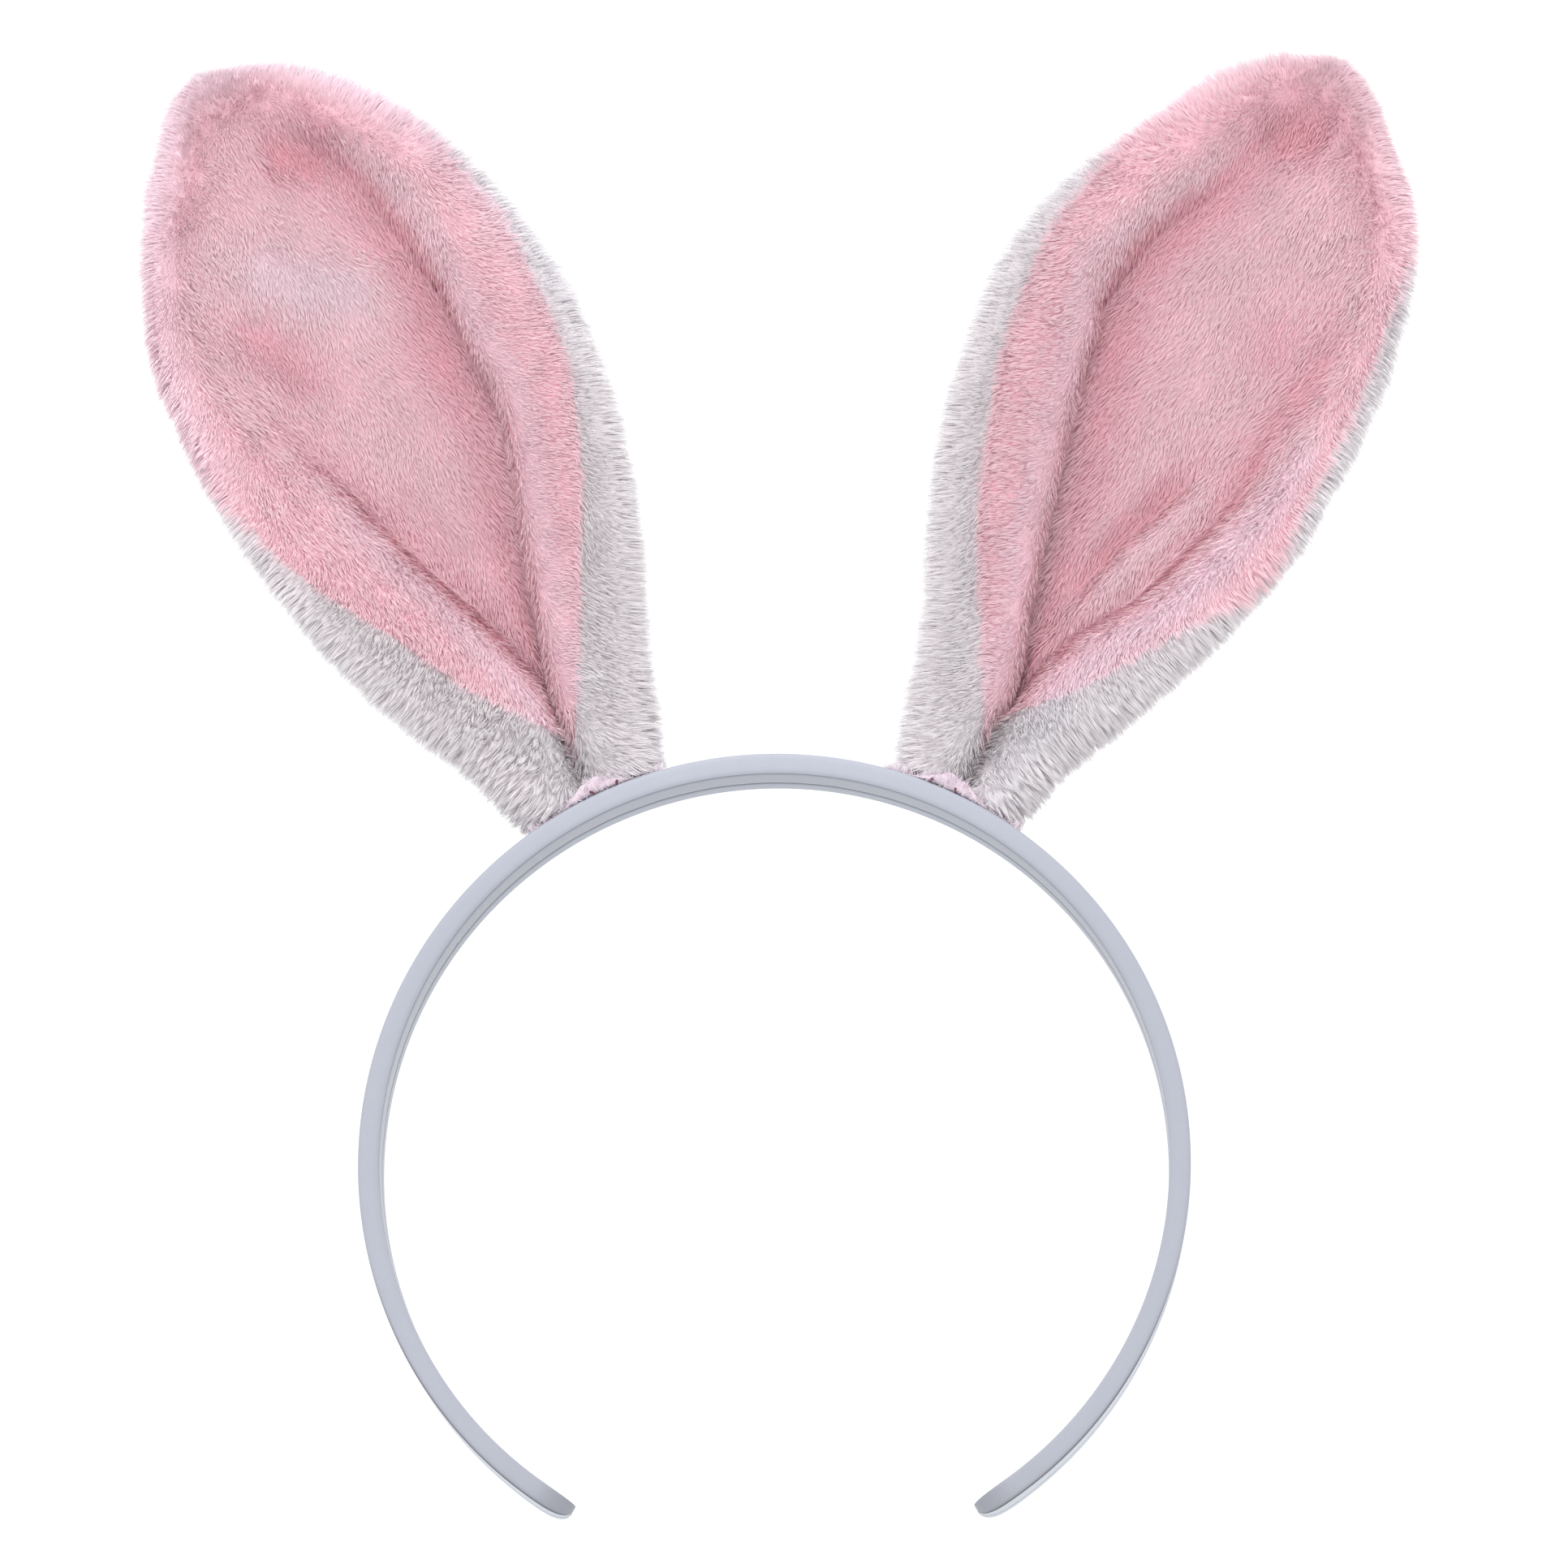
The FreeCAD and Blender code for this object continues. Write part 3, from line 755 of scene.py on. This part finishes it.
def tube(path, radius, sides=8):
    """A round tube along a path in millimetres, closed at its ends."""
    path = np.asarray(path, float)
    run = unit(np.gradient(path, axis=0))
    across = unit(np.cross(run, [0.0, 1.0, 0.02]))
    other = np.cross(run, across)
    angle = np.linspace(0, 2 * math.pi, sides, endpoint=False)[None, :, None]
    ring = across[:, None] * np.cos(angle) + other[:, None] * np.sin(angle)
    return closed_rings(path[:, None] + radius * ring)


def closed_strip(points):
    """A solid made of thin rings whose two sides mirror each other: its ends are strips."""
    rows, columns = points.shape[:2]
    i = np.arange(columns // 2 - 1)
    end = np.stack([i, i + 1, columns - 2 - i, columns - 1 - i], -1)
    far_end = end[:, ::-1] + (rows - 1) * columns
    return points.reshape(-1, 3), np.concatenate([grid_faces(rows, columns, wrap=True), end, far_end])


def joined(parts):
    """Vertices, quads and triangles of several solids as one."""
    vertices, quads, caps, offset = [], [], [], 0
    for v, q, c in parts:
        vertices.append(v)
        quads.append(q + offset)
        caps.append(c + offset)
        offset += len(v)
    return np.concatenate(vertices), np.concatenate(quads), np.concatenate(caps)


def blend_ear(obj):
    """Bakes a piece's placement into its mesh."""
    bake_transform(obj)


def finish_piece(obj, slot, *nodes):
    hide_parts(*nodes)


# ---- materials ----

class Nodes:
    """A material's node tree, with short calls for the nodes used here."""

    def __init__(self, name):
        self.material = bpy.data.materials.new(name)
        self.material.use_nodes = True
        self.tree = self.material.node_tree
        self.tree.nodes.clear()
        self.shader = self.add("ShaderNodeBsdfPrincipled")
        self.tree.links.new(self.shader.outputs[0], self.add("ShaderNodeOutputMaterial").inputs[0])

    def add(self, kind, **settings):
        node = self.tree.nodes.new(kind)
        for key, value in settings.items():
            setattr(node, key, value)
        return node

    def link(self, output, socket):
        self.tree.links.new(output, socket)

    def put(self, value, socket):
        if hasattr(value, "links"):
            self.link(value, socket)
        else:
            socket.default_value = value

    def value(self, name):
        return self.add("ShaderNodeAttribute", attribute_name=name).outputs["Fac"]

    def maths(self, operation, first, second=0.5, third=0.5, clamp=False):
        node = self.add("ShaderNodeMath", operation=operation, use_clamp=clamp)
        for socket, value in zip(node.inputs, (first, second, third)):
            self.put(value, socket)
        return node.outputs[0]

    def mix(self, share, first, second, blend="MIX"):
        node = self.add("ShaderNodeMix", data_type="RGBA", blend_type=blend)
        self.put(share, node.inputs[0])
        self.put(first, node.inputs[6])
        self.put(second, node.inputs[7])
        return node.outputs[2]

    def uv(self, across, along_it):
        node = self.add("ShaderNodeMapping")
        self.link(self.add("ShaderNodeUVMap", uv_map=UV_NAME).outputs[0], node.inputs[0])
        node.inputs["Scale"].default_value = (across, along_it, 1)
        return node.outputs[0]

    def noise(self, place, scale, detail=2.0):
        node = self.add("ShaderNodeTexNoise")
        self.link(place, node.inputs["Vector"])
        node.inputs["Scale"].default_value = scale
        node.inputs["Detail"].default_value = detail
        return node.outputs["Fac"]

    def bump(self, height, strength, distance):
        node = self.add("ShaderNodeBump")
        node.inputs["Strength"].default_value = strength
        node.inputs["Distance"].default_value = distance
        self.link(height, node.inputs["Height"])
        self.link(node.outputs[0], self.shader.inputs["Normal"])

    def set(self, **values):
        names = {"roughness": "Roughness", "specular": "Specular IOR Level", "sheen": "Sheen Weight",
                 "sheen_roughness": "Sheen Roughness", "metallic": "Metallic"}
        for key, value in values.items():
            self.shader.inputs[names[key]].default_value = value


def colour(red, green, blue):
    """Linear colour from display values of 0 to 255."""
    return tuple((v / 255 / 12.92) if v / 255 <= 0.04045 else ((v / 255 + 0.055) / 1.055) ** 2.4
                 for v in (red, green, blue)) + (1.0,)


def plush_material(name, *tones):
    """Plush, from its root, tip, deep and pale tones: painted shade at the roots, deep in folds and over the
    front's middle, painted highlight along fold tops, the rim and near the tip, and uneven.
    """
    n = Nodes(name)
    root, tip, deep, pale = (colour(*tone) for tone in tones)
    # painted shade: the roots are darker than the tips, for shade deep in the pile
    base = n.mix(n.value("pile_tip"), root, tip)
    patches = n.noise(n.uv(1, 1), 9.0, 3.0)
    grain = n.noise(n.uv(1, 0.35), 160.0, 2.0)
    # painted shade deep in folds; painted highlight along fold tops, the rim and near the tip
    base = n.mix(n.maths("MULTIPLY", n.value("pile_fold_shade"), 0.5, clamp=True), base, deep)
    base = n.mix(n.maths("MULTIPLY", n.value("pile_fold_shade"), -0.75, clamp=True), base, pale)
    shade = n.maths("MULTIPLY_ADD", patches, 0.12, 0.93)
    # painted shade over the middle of the front
    shade = n.maths("MULTIPLY_ADD", n.value("pile_middle_shade"), -0.12, shade)
    shade = n.maths("MULTIPLY_ADD", n.value("pile_tone"), 0.06, n.maths("SUBTRACT", shade, 0.03))
    shade = n.maths("MULTIPLY_ADD", grain, 0.06, n.maths("SUBTRACT", shade, 0.03))
    grey = n.add("ShaderNodeCombineColor")
    for socket in grey.inputs:
        n.put(shade, socket)
    base = n.mix(1.0, base, grey.outputs[0], "MULTIPLY")
    n.link(base, n.shader.inputs["Base Color"])
    n.set(roughness=0.82, specular=0.2, sheen=0.18, sheen_roughness=0.5)
    return n.material


def satin_material(name, main, shadow):
    """Satin ribbon: a close weave, faintly uneven, with painted shade in its creases and greying down its
    arms to the ends, and a painted highlight on the outer face of its lower arms.
    """
    n = Nodes(name)
    patches = n.noise(n.uv(30, 2), 3.0, 3.0)
    threads = n.noise(n.uv(60, 260), 4.0, 2.0)
    share = n.maths("MULTIPLY_ADD", patches, 0.5, n.maths("MULTIPLY", threads, 0.25))
    base = n.mix(share, colour(*main), colour(*shadow))
    # painted shade down the arms, a painted highlight on the lower arms' outer face, and painted shade in the
    # creases
    base = n.mix(n.value("arm_shade"), base, colour(140, 142, 150))
    base = n.mix(n.value("bright"), base, colour(206, 213, 225))
    base = n.mix(n.value("crease"), base, colour(62, 54, 58))
    n.link(base, n.shader.inputs["Base Color"])
    n.link(n.maths("MULTIPLY_ADD", threads, 0.16, 0.32), n.shader.inputs["Roughness"])
    n.bump(threads, 0.25, 0.00004)
    n.set(specular=0.4, sheen=0.12, sheen_roughness=0.3)
    return n.material


def plain_material(name, main, other, scale, roughness, metallic=0.0):
    """A simple solid material with uneven colour and a fine surface."""
    n = Nodes(name)
    place = n.add("ShaderNodeTexCoord").outputs["Object"]
    grain = n.noise(place, scale, 3.0)
    n.link(n.mix(grain, colour(*main), colour(*other)), n.shader.inputs["Base Color"])
    n.link(n.maths("MULTIPLY_ADD", grain, 0.15, roughness - 0.07), n.shader.inputs["Roughness"])
    n.bump(grain, 0.3, 0.0001)
    n.set(metallic=metallic)
    return n.material


# ---- hoop pieces ----

def hoop_half(name, side, section, slot, material, nodes):
    """One half of a hoop piece, from the top to the end of its arm."""
    loop = np.array(section, float)
    sign = -1 if side == "left" else 1
    middle, rounding = HOOP_MIDDLE_RADIUS, TIP_ROUNDING
    end = math.radians(HOOP_END_ANGLE)
    body = np.linspace(0, end - rounding / middle, HOOP_STATIONS)
    turn = np.linspace(0, math.pi / 2, TIP_STATIONS)[1:]
    angle = np.concatenate([body, end - rounding / middle * (1 - np.sin(turn))])
    narrow = np.concatenate([np.ones(len(body)), np.maximum(np.cos(turn), 0.012)])[:, None]
    taper = (1 - narrow) ** 1.5 * np.where(loop[None, :, 1] > middle, TIP_TAPER, 0.1)
    pucker = wobble(angle[:, None] * 60, 9.0, np.random.default_rng(31))[:, None] * PUCKER_DEPTH
    flats = np.sign(loop[None, :, 1] - middle) * (np.abs(loop[None, :, 0]) < 4)
    radius = middle + (loop[None, :, 1] - middle) * (1 - taper) + pucker * flats
    points = np.stack([sign * radius * np.sin(angle)[:, None], loop[None, :, 0] * narrow,
                       radius * np.cos(angle)[:, None]], -1)
    vertices, quads, caps = closed_rings(points)
    walk = walked(loop)
    uv = np.broadcast_arrays(angle[:, None] / (math.pi * 1.02), walk[None] / (walk[-1] + 1) * 0.98)
    uv = np.concatenate([np.stack(uv, -1).reshape(-1, 2), [[0, 0], [0.98, 0.5]]])
    # painted shade: dark in the groove by the front's inner corner, in the lap gap, and along the front's
    # outer corner on the lower arms
    groove = np.exp(-((loop[:, 0] - GROOVE_PLACE) / GROOVE_WIDTH) ** 2)
    groove = groove * (loop[:, 1] < 62.6) * (loop[:, 1] > 61.95)
    lap = np.exp(-((loop[:, 0] - LAP_PLACE) / LAP_WIDTH) ** 2)
    degrees = np.degrees(angle)[:, None]
    # painted shade: greyer down the arms from the top, and most at the ends
    arm_shade = 0.22 * smoothstep((degrees - 12) / 50) + 0.15 * smoothstep((degrees - 132) / 12)
    arm_shade = arm_shade + 0.3 * smoothstep((degrees - 143) / 5)
    corner = 0.8 * np.exp(-(np.linalg.norm(loop - CORNER_PLACE, axis=1) / 0.2) ** 2)
    # painted highlight on the outer face of the lower arms
    lower = smoothstep((degrees - 100) / 25)
    outside = smoothstep((loop[:, 1] - 64.6) / 0.3) * smoothstep((loop[:, 0] + 5.6) / 0.25) * lower
    values = {"crease": np.maximum(np.maximum(groove, 0.9 * lap), corner * lower),
              "arm_shade": np.broadcast_to(arm_shade, points.shape[:2]) * (1 - outside),
              "bright": outside}
    values = {key: np.append(value.ravel(), [0.0, value[-1].mean()]) for key, value in values.items()}
    obj = new_mesh(name, vertices * MM, [quads, caps], uv, values, flip=side == "right")
    obj.data.set_sharp_from_angle(angle=math.radians(55))
    obj.data.materials.append(material)

    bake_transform(obj)
    finish_piece(obj, slot, *nodes)


def build_hoop(materials):
    for side in SIDES:
        for piece, section, slot, node in (("satin_cover", COVER_SECTION, "satin", "cover"),
                                           ("satin_edging", EDGING_SECTION, "satin", "edging"),
                                           ("spring_core", CORE_SECTION, "hoop_plastic", "core")):
            hoop_half(f"{side}_hoop_{piece}", side, section, slot, materials[piece],
                      ["crown_" + node, f"{side}_arm_{node}"])


# ---- ear pieces ----

WADDING_INSET = 2.2
WIRE_INSET = 5.7
WIRE_RADIUS = 0.7
WIRE_HEIGHT = 2.6
WIRE_ARCH = (124.0, 6.6)
THREAD_HEIGHT = 13.0
THREAD_RADIUS = 0.25
THREAD_SUNK = 0.35
KNIT_HALF_LENGTH = 11.6
STITCH_PLACES = (-8.6, -4.4, -0.2, 4.0, 8.2)
STITCH_RADIUS = 0.2
STITCH_DEPTH = 5.62


def build_ear(side, materials):
    ear = EARS[side]
    panels, foot_rows = ear_shell(ear)
    rows_z = panels["back"]["points"][:, :, 2].mean(1)
    split = int(np.argmax(rows_z >= SPLIT_HEIGHT))
    rng = np.random.default_rng(ear["seed"] + 100)
    for layer, slot in (("front", "pink_plush"), ("back", "white_plush")):
        for level, rows in (("lower", slice(0, split + 1)), ("upper", slice(split, None))):
            first = foot_rows - 1 if level == "lower" else 0
            part = {key: value[rows] for key, value in panels[layer].items()}
            obj = plush_piece(f"{side}_ear_{slot}_{level}", side, part, first, PILE_DENSITY[layer],
                              materials[slot], rng)
            blend_ear(obj)
            finish_piece(obj, slot, f"{side}_ear_{layer}_panel_{level}")
    build_filling(side, ear, materials)
    build_wire(side, ear, materials)
    build_thread(side, panels, foot_rows, materials)
    build_sewing(side, ear, materials)


def build_filling(side, ear, materials):
    """The wadding between the panels."""
    z = np.concatenate([np.arange(6.0, 126.0, 2.0), [128.0, 130.0]])
    control, _ = ear_sections(ear, z)
    loop = closed_spline(control, 4)
    x = loop[..., 0]
    middle = (x.max(1, keepdims=True) + x.min(1, keepdims=True)) / 2
    half = (x.max(1, keepdims=True) - x.min(1, keepdims=True)) / 2
    x = middle + (x - middle) * np.maximum(half - WADDING_INSET, 0.5) / half
    up = np.broadcast_to(z[:, None], x.shape)
    points = np.stack([x, cup_depth(x, up, 1.1 + 0.12 * loop[..., 1]), up], -1)
    split = int(np.argmax(z >= SPLIT_HEIGHT))
    for level, part in (("lower", points[:split + 1]), ("upper", points[split:])):
        vertices, quads = closed_strip(part)
        obj = ear_mesh(f"{side}_ear_filling_{level}", side, vertices, [quads], materials["wadding"])
        blend_ear(obj)
        finish_piece(obj, "wadding", f"{side}_ear_wadding_{level}")


def build_wire(side, ear, materials):
    """The bendable wire that runs up one side of the ear, round its tip and down the other."""
    start, rise = WIRE_ARCH
    arch = np.sin(np.linspace(0, math.pi / 2, 14))
    z = np.concatenate([np.arange(7.0, start, 1.5), start + rise * arch])
    outer, inner, _ = outline_sides(ear, z, WIRE_INSET)
    path = np.concatenate([np.stack([outer, z], 1), np.stack([inner, z], 1)[::-1][1:]])
    points = np.stack([path[:, 0], cup_depth(path[:, 0], path[:, 1], WIRE_HEIGHT), path[:, 1]], 1)
    low = path[:, 1] <= SPLIT_HEIGHT + 0.8
    half = len(z)
    legs = [points[:half][low[:half]], points[half:][low[half:]]]
    above = slice(int(np.argmax(~low)) - 1, len(low) - int(np.argmax(~low[::-1])) + 1)
    for level, paths in (("lower", legs), ("upper", [points[above]])):
        vertices, quads, caps = joined([tube(line, WIRE_RADIUS) for line in paths])
        obj = ear_mesh(f"{side}_ear_bend_wire_{level}", side, vertices, [quads, caps], materials["wire"])
        blend_ear(obj)
        finish_piece(obj, "wire", f"{side}_ear_wire_{level}")


def build_thread(side, panels, foot_rows, materials):
    """The thread that gathers the ear's neck, sunk in its pile."""
    rings, normals = (np.concatenate([panels[layer][key][:, :-1] for layer in ("front", "back")], 1)
                      for key in ("points", "normals"))
    row = foot_rows + int(np.argmax(rings[foot_rows:, :, 2].mean(1) >= THREAD_HEIGHT))
    path = (rings[row] - normals[row] * THREAD_SUNK)[::2]
    path = np.concatenate([path, path[:1]])
    path[:, 2] += 0.35 * np.sin(np.linspace(0, 6 * math.pi, len(path)))
    vertices, quads, caps = tube(path, THREAD_RADIUS, 6)
    obj = ear_mesh(f"{side}_ear_neck_thread", side, vertices, [quads, caps], materials["thread_white"])
    blend_ear(obj)
    finish_piece(obj, "thread", f"{side}_ear_gather_thread")


def tucked_back(across):
    """How far back the raw edge lies beside its bunched middle, under the ear's lobes."""
    return 4.2 * smoothstep((np.abs(across - 0.5) - 3.8) / 3.2)


def build_sewing(side, ear, materials):
    """The ear's raw knit edge on the hoop, bunched up at its front, and the stitches through it."""
    rng = np.random.default_rng(ear["seed"] + 7)
    across = np.linspace(-KNIT_HALF_LENGTH, KNIT_HALF_LENGTH, 110)[:, None]
    rounds = closed_spline(np.array(KNIT_SECTION)[None], 4)[0]
    y, share, z = (np.broadcast_to(rounds[:, k], (len(across), len(rounds))) for k in range(3))
    x = np.broadcast_to(across, y.shape)
    line = np.concatenate([across, 0 * across], 1)
    bunched = 1.8 * np.exp(-((across - 0.6) / 3.0) ** 2) + 0.1
    bunched = bunched * (1 + 0.3 * wobble(line, 3.1, rng)[:, None])
    y = y + share * (0.3 * wobble(line, 4.2, rng)[:, None] + 0.15 * wobble(line, 1.4, rng)[:, None])
    y = y + share * tucked_back(across)
    low_ends = 1 - 0.6 * smoothstep((np.abs(across - 0.5) - 5) / 3)
    radius = HOOP_RADIUS + z * low_ends + share * bunched
    turned = x / HOOP_RADIUS
    points = np.stack([radius * np.sin(turned), y, radius * np.cos(turned) - HOOP_RADIUS], -1)
    top = points[:, KNIT_TOP]
    normals = grid_normals(top)
    look = np.broadcast_to(KNIT_PILE, top.shape[:2] + (len(KNIT_PILE),))
    uv = np.broadcast_arrays(across / 25 + 0.5, np.linspace(0.05, 0.9, top.shape[1])[None])
    part = {"points": top, "normals": normals, "style": look, "uv": np.stack(uv, -1)}
    vertices, quads, caps = closed_rings(points)
    fuzz, fuzz_quads, tips, fuzz_uv, values = pile(part, KNIT_DENSITY, KNIT_WIDTH, rng)
    cloth_uv = np.stack([vertices[:, 0] / 25 + 0.5, np.clip((6 - vertices[:, 1]) / 13, 0, 1)], -1)
    # the knit's cloth gets a little of its painted fold shade
    flat = {"pile_tip": 0.2, "pile_tone": 0.5, "pile_fold_shade": 0.3, "pile_middle_shade": 0.0}
    values = {key: np.concatenate([np.full(len(vertices), flat[key]), v]) for key, v in values.items()}
    offset = len(vertices)
    obj = ear_mesh(f"{side}_ear_knit_edge", side, np.concatenate([vertices, fuzz]),
                   [quads, caps, fuzz_quads + offset, tips + offset], materials["backing_knit"],
                   np.concatenate([cloth_uv, fuzz_uv]), values)
    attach(obj, "crown")
    finish_piece(obj, "backing_knit", f"{side}_ear_seam_allowance")
    stitches = []
    for place in STITCH_PLACES:
        bow = np.sin(np.linspace(0, math.pi, 9))
        rise = np.linspace(0.2, rng.uniform(0.6, 0.9), 9)
        turned = (place + rng.uniform(-0.9, 0.9) * (rise - 0.5)) / HOOP_RADIUS
        path = np.stack([(HOOP_RADIUS + rise) * np.sin(turned), tucked_back(place) - STITCH_DEPTH - 0.2 * bow,
                         (HOOP_RADIUS + rise) * np.cos(turned) - HOOP_RADIUS], 1)
        stitches.append(tube(path, STITCH_RADIUS, 6))
    vertices, quads, caps = joined(stitches)
    obj = ear_mesh(f"{side}_ear_sewing_stitches", side, vertices, [quads, caps], materials["thread"])
    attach(obj, "crown")
    finish_piece(obj, "thread", f"{side}_ear_stitches")


# ---- floor, light and camera ----

FLOOR_REACH = 30.0
FLOOR_HEIGHT = -0.27
SKY_STRENGTH = {"From Min": -1.0, "From Max": 0.0, "To Min": 1.46, "To Max": 1.14}
LAMPS_AIM = Vector((0, 0, 0.07))
LAMPS = (("key", (-0.1, -0.5, 0.6), 0.6, 1.6, (1.0, 0.99, 0.97)),
         ("fill", (-0.6, -1.2, 0.5), 1.0, 1.3, (0.96, 0.98, 1.0)))
CAMERA_TARGET = Vector((0.00144, 0, 0.06136))
CAMERA_DISTANCE = 1.235
CAMERA_AZIMUTH = math.radians(1.76)
CAMERA_ELEVATION = math.radians(-12.8)
CAMERA_SENSOR, CAMERA_LENS = 36.0, 178.8


def build_stage():
    square = ((-1, -1), (1, -1), (1, 1), (-1, 1))
    corners = [(x * FLOOR_REACH, y * FLOOR_REACH, FLOOR_HEIGHT) for x, y in square]
    floor = new_mesh("floor", np.array(corners), [np.array([[0, 1, 2, 3]])])
    n = Nodes("floor_paper")
    grain = n.noise(n.add("ShaderNodeTexCoord").outputs["Object"], 3.0, 2.0)
    n.link(n.mix(grain, (0.70, 0.70, 0.70, 1), (0.74, 0.74, 0.74, 1)), n.shader.inputs["Base Color"])
    n.set(roughness=0.9, specular=0.1)
    floor.data.materials.append(n.material)

    world = bpy.data.worlds.new("studio")
    bpy.context.scene.world = world
    world.use_nodes = True
    nodes, links = world.node_tree.nodes, world.node_tree.links
    background = nodes["Background"]
    background.inputs["Color"].default_value = (1.0, 1.0, 1.0, 1)
    texture = nodes.new("ShaderNodeTexCoord")
    split = nodes.new("ShaderNodeSeparateXYZ")
    front = nodes.new("ShaderNodeMapRange")
    links.new(texture.outputs["Generated"], split.inputs[0])
    links.new(split.outputs["Y"], front.inputs["Value"])
    links.new(front.outputs["Result"], background.inputs["Strength"])
    for socket, value in SKY_STRENGTH.items():
        front.inputs[socket].default_value = value
    for name, place, size, power, tint in LAMPS:
        lamp = bpy.data.lights.new(name, "AREA")
        lamp.size = size
        lamp.energy = power
        lamp.color = tint
        obj = bpy.data.objects.new(name, lamp)
        obj.location = place
        obj.rotation_euler = (LAMPS_AIM - Vector(place)).to_track_quat("-Z", "Y").to_euler()
        bpy.context.scene.collection.objects.link(obj)


def build_camera():
    """A long lens a little below the hoop's middle, looking up at it."""
    level = math.cos(CAMERA_ELEVATION)
    back = Vector((math.sin(CAMERA_AZIMUTH) * level, -math.cos(CAMERA_AZIMUTH) * level,
                   math.sin(CAMERA_ELEVATION)))
    lens = bpy.data.cameras.new("camera")
    lens.sensor_width = CAMERA_SENSOR
    lens.lens = CAMERA_LENS
    lens.clip_start, lens.clip_end = 0.01, 100
    camera = bpy.data.objects.new("camera", lens)
    camera.location = CAMERA_TARGET + back * CAMERA_DISTANCE
    camera.rotation_euler = (-back).to_track_quat("-Z", "Y").to_euler()
    bpy.context.scene.collection.objects.link(camera)
    bpy.context.scene.camera = camera


def main():
    bpy.context.scene.view_settings.view_transform = "Standard"
    materials = {
        "pink_plush": plush_material("pink_plush", (247, 196, 209), (254, 228, 235), (240, 128, 150),
                                     (250, 238, 248)),
        "white_plush": plush_material("white_plush", (235, 228, 231), (243, 240, 243), (220, 203, 207),
                                      (242, 241, 245)),
        "satin_cover": satin_material("hoop_satin", (176, 180, 192), (168, 172, 184)),
        "satin_edging": satin_material("hoop_satin_edging", (182, 188, 201), (173, 178, 191)),
        "spring_core": plain_material("hoop_plastic", (190, 192, 200), (180, 182, 190), 900, 0.4),
        "wadding": plain_material("wadding", (236, 234, 232), (220, 218, 216), 400, 0.95),
        "wire": plain_material("wire_steel", (150, 152, 156), (130, 132, 136), 700, 0.35, metallic=1.0),
        "backing_knit": plush_material("backing_knit", (226, 210, 222), (246, 240, 246), (160, 118, 138),
                                       (248, 244, 248)),
        "thread": plain_material("sewing_thread", (120, 62, 84), (92, 44, 66), 3000, 0.7),
        "thread_white": plain_material("neck_thread", (222, 218, 222), (206, 202, 208), 3000, 0.8),
    }
    build_hoop(materials)
    for side in SIDES:
        build_ear(side, materials)
    build_stage()
    build_camera()
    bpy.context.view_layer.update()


main()
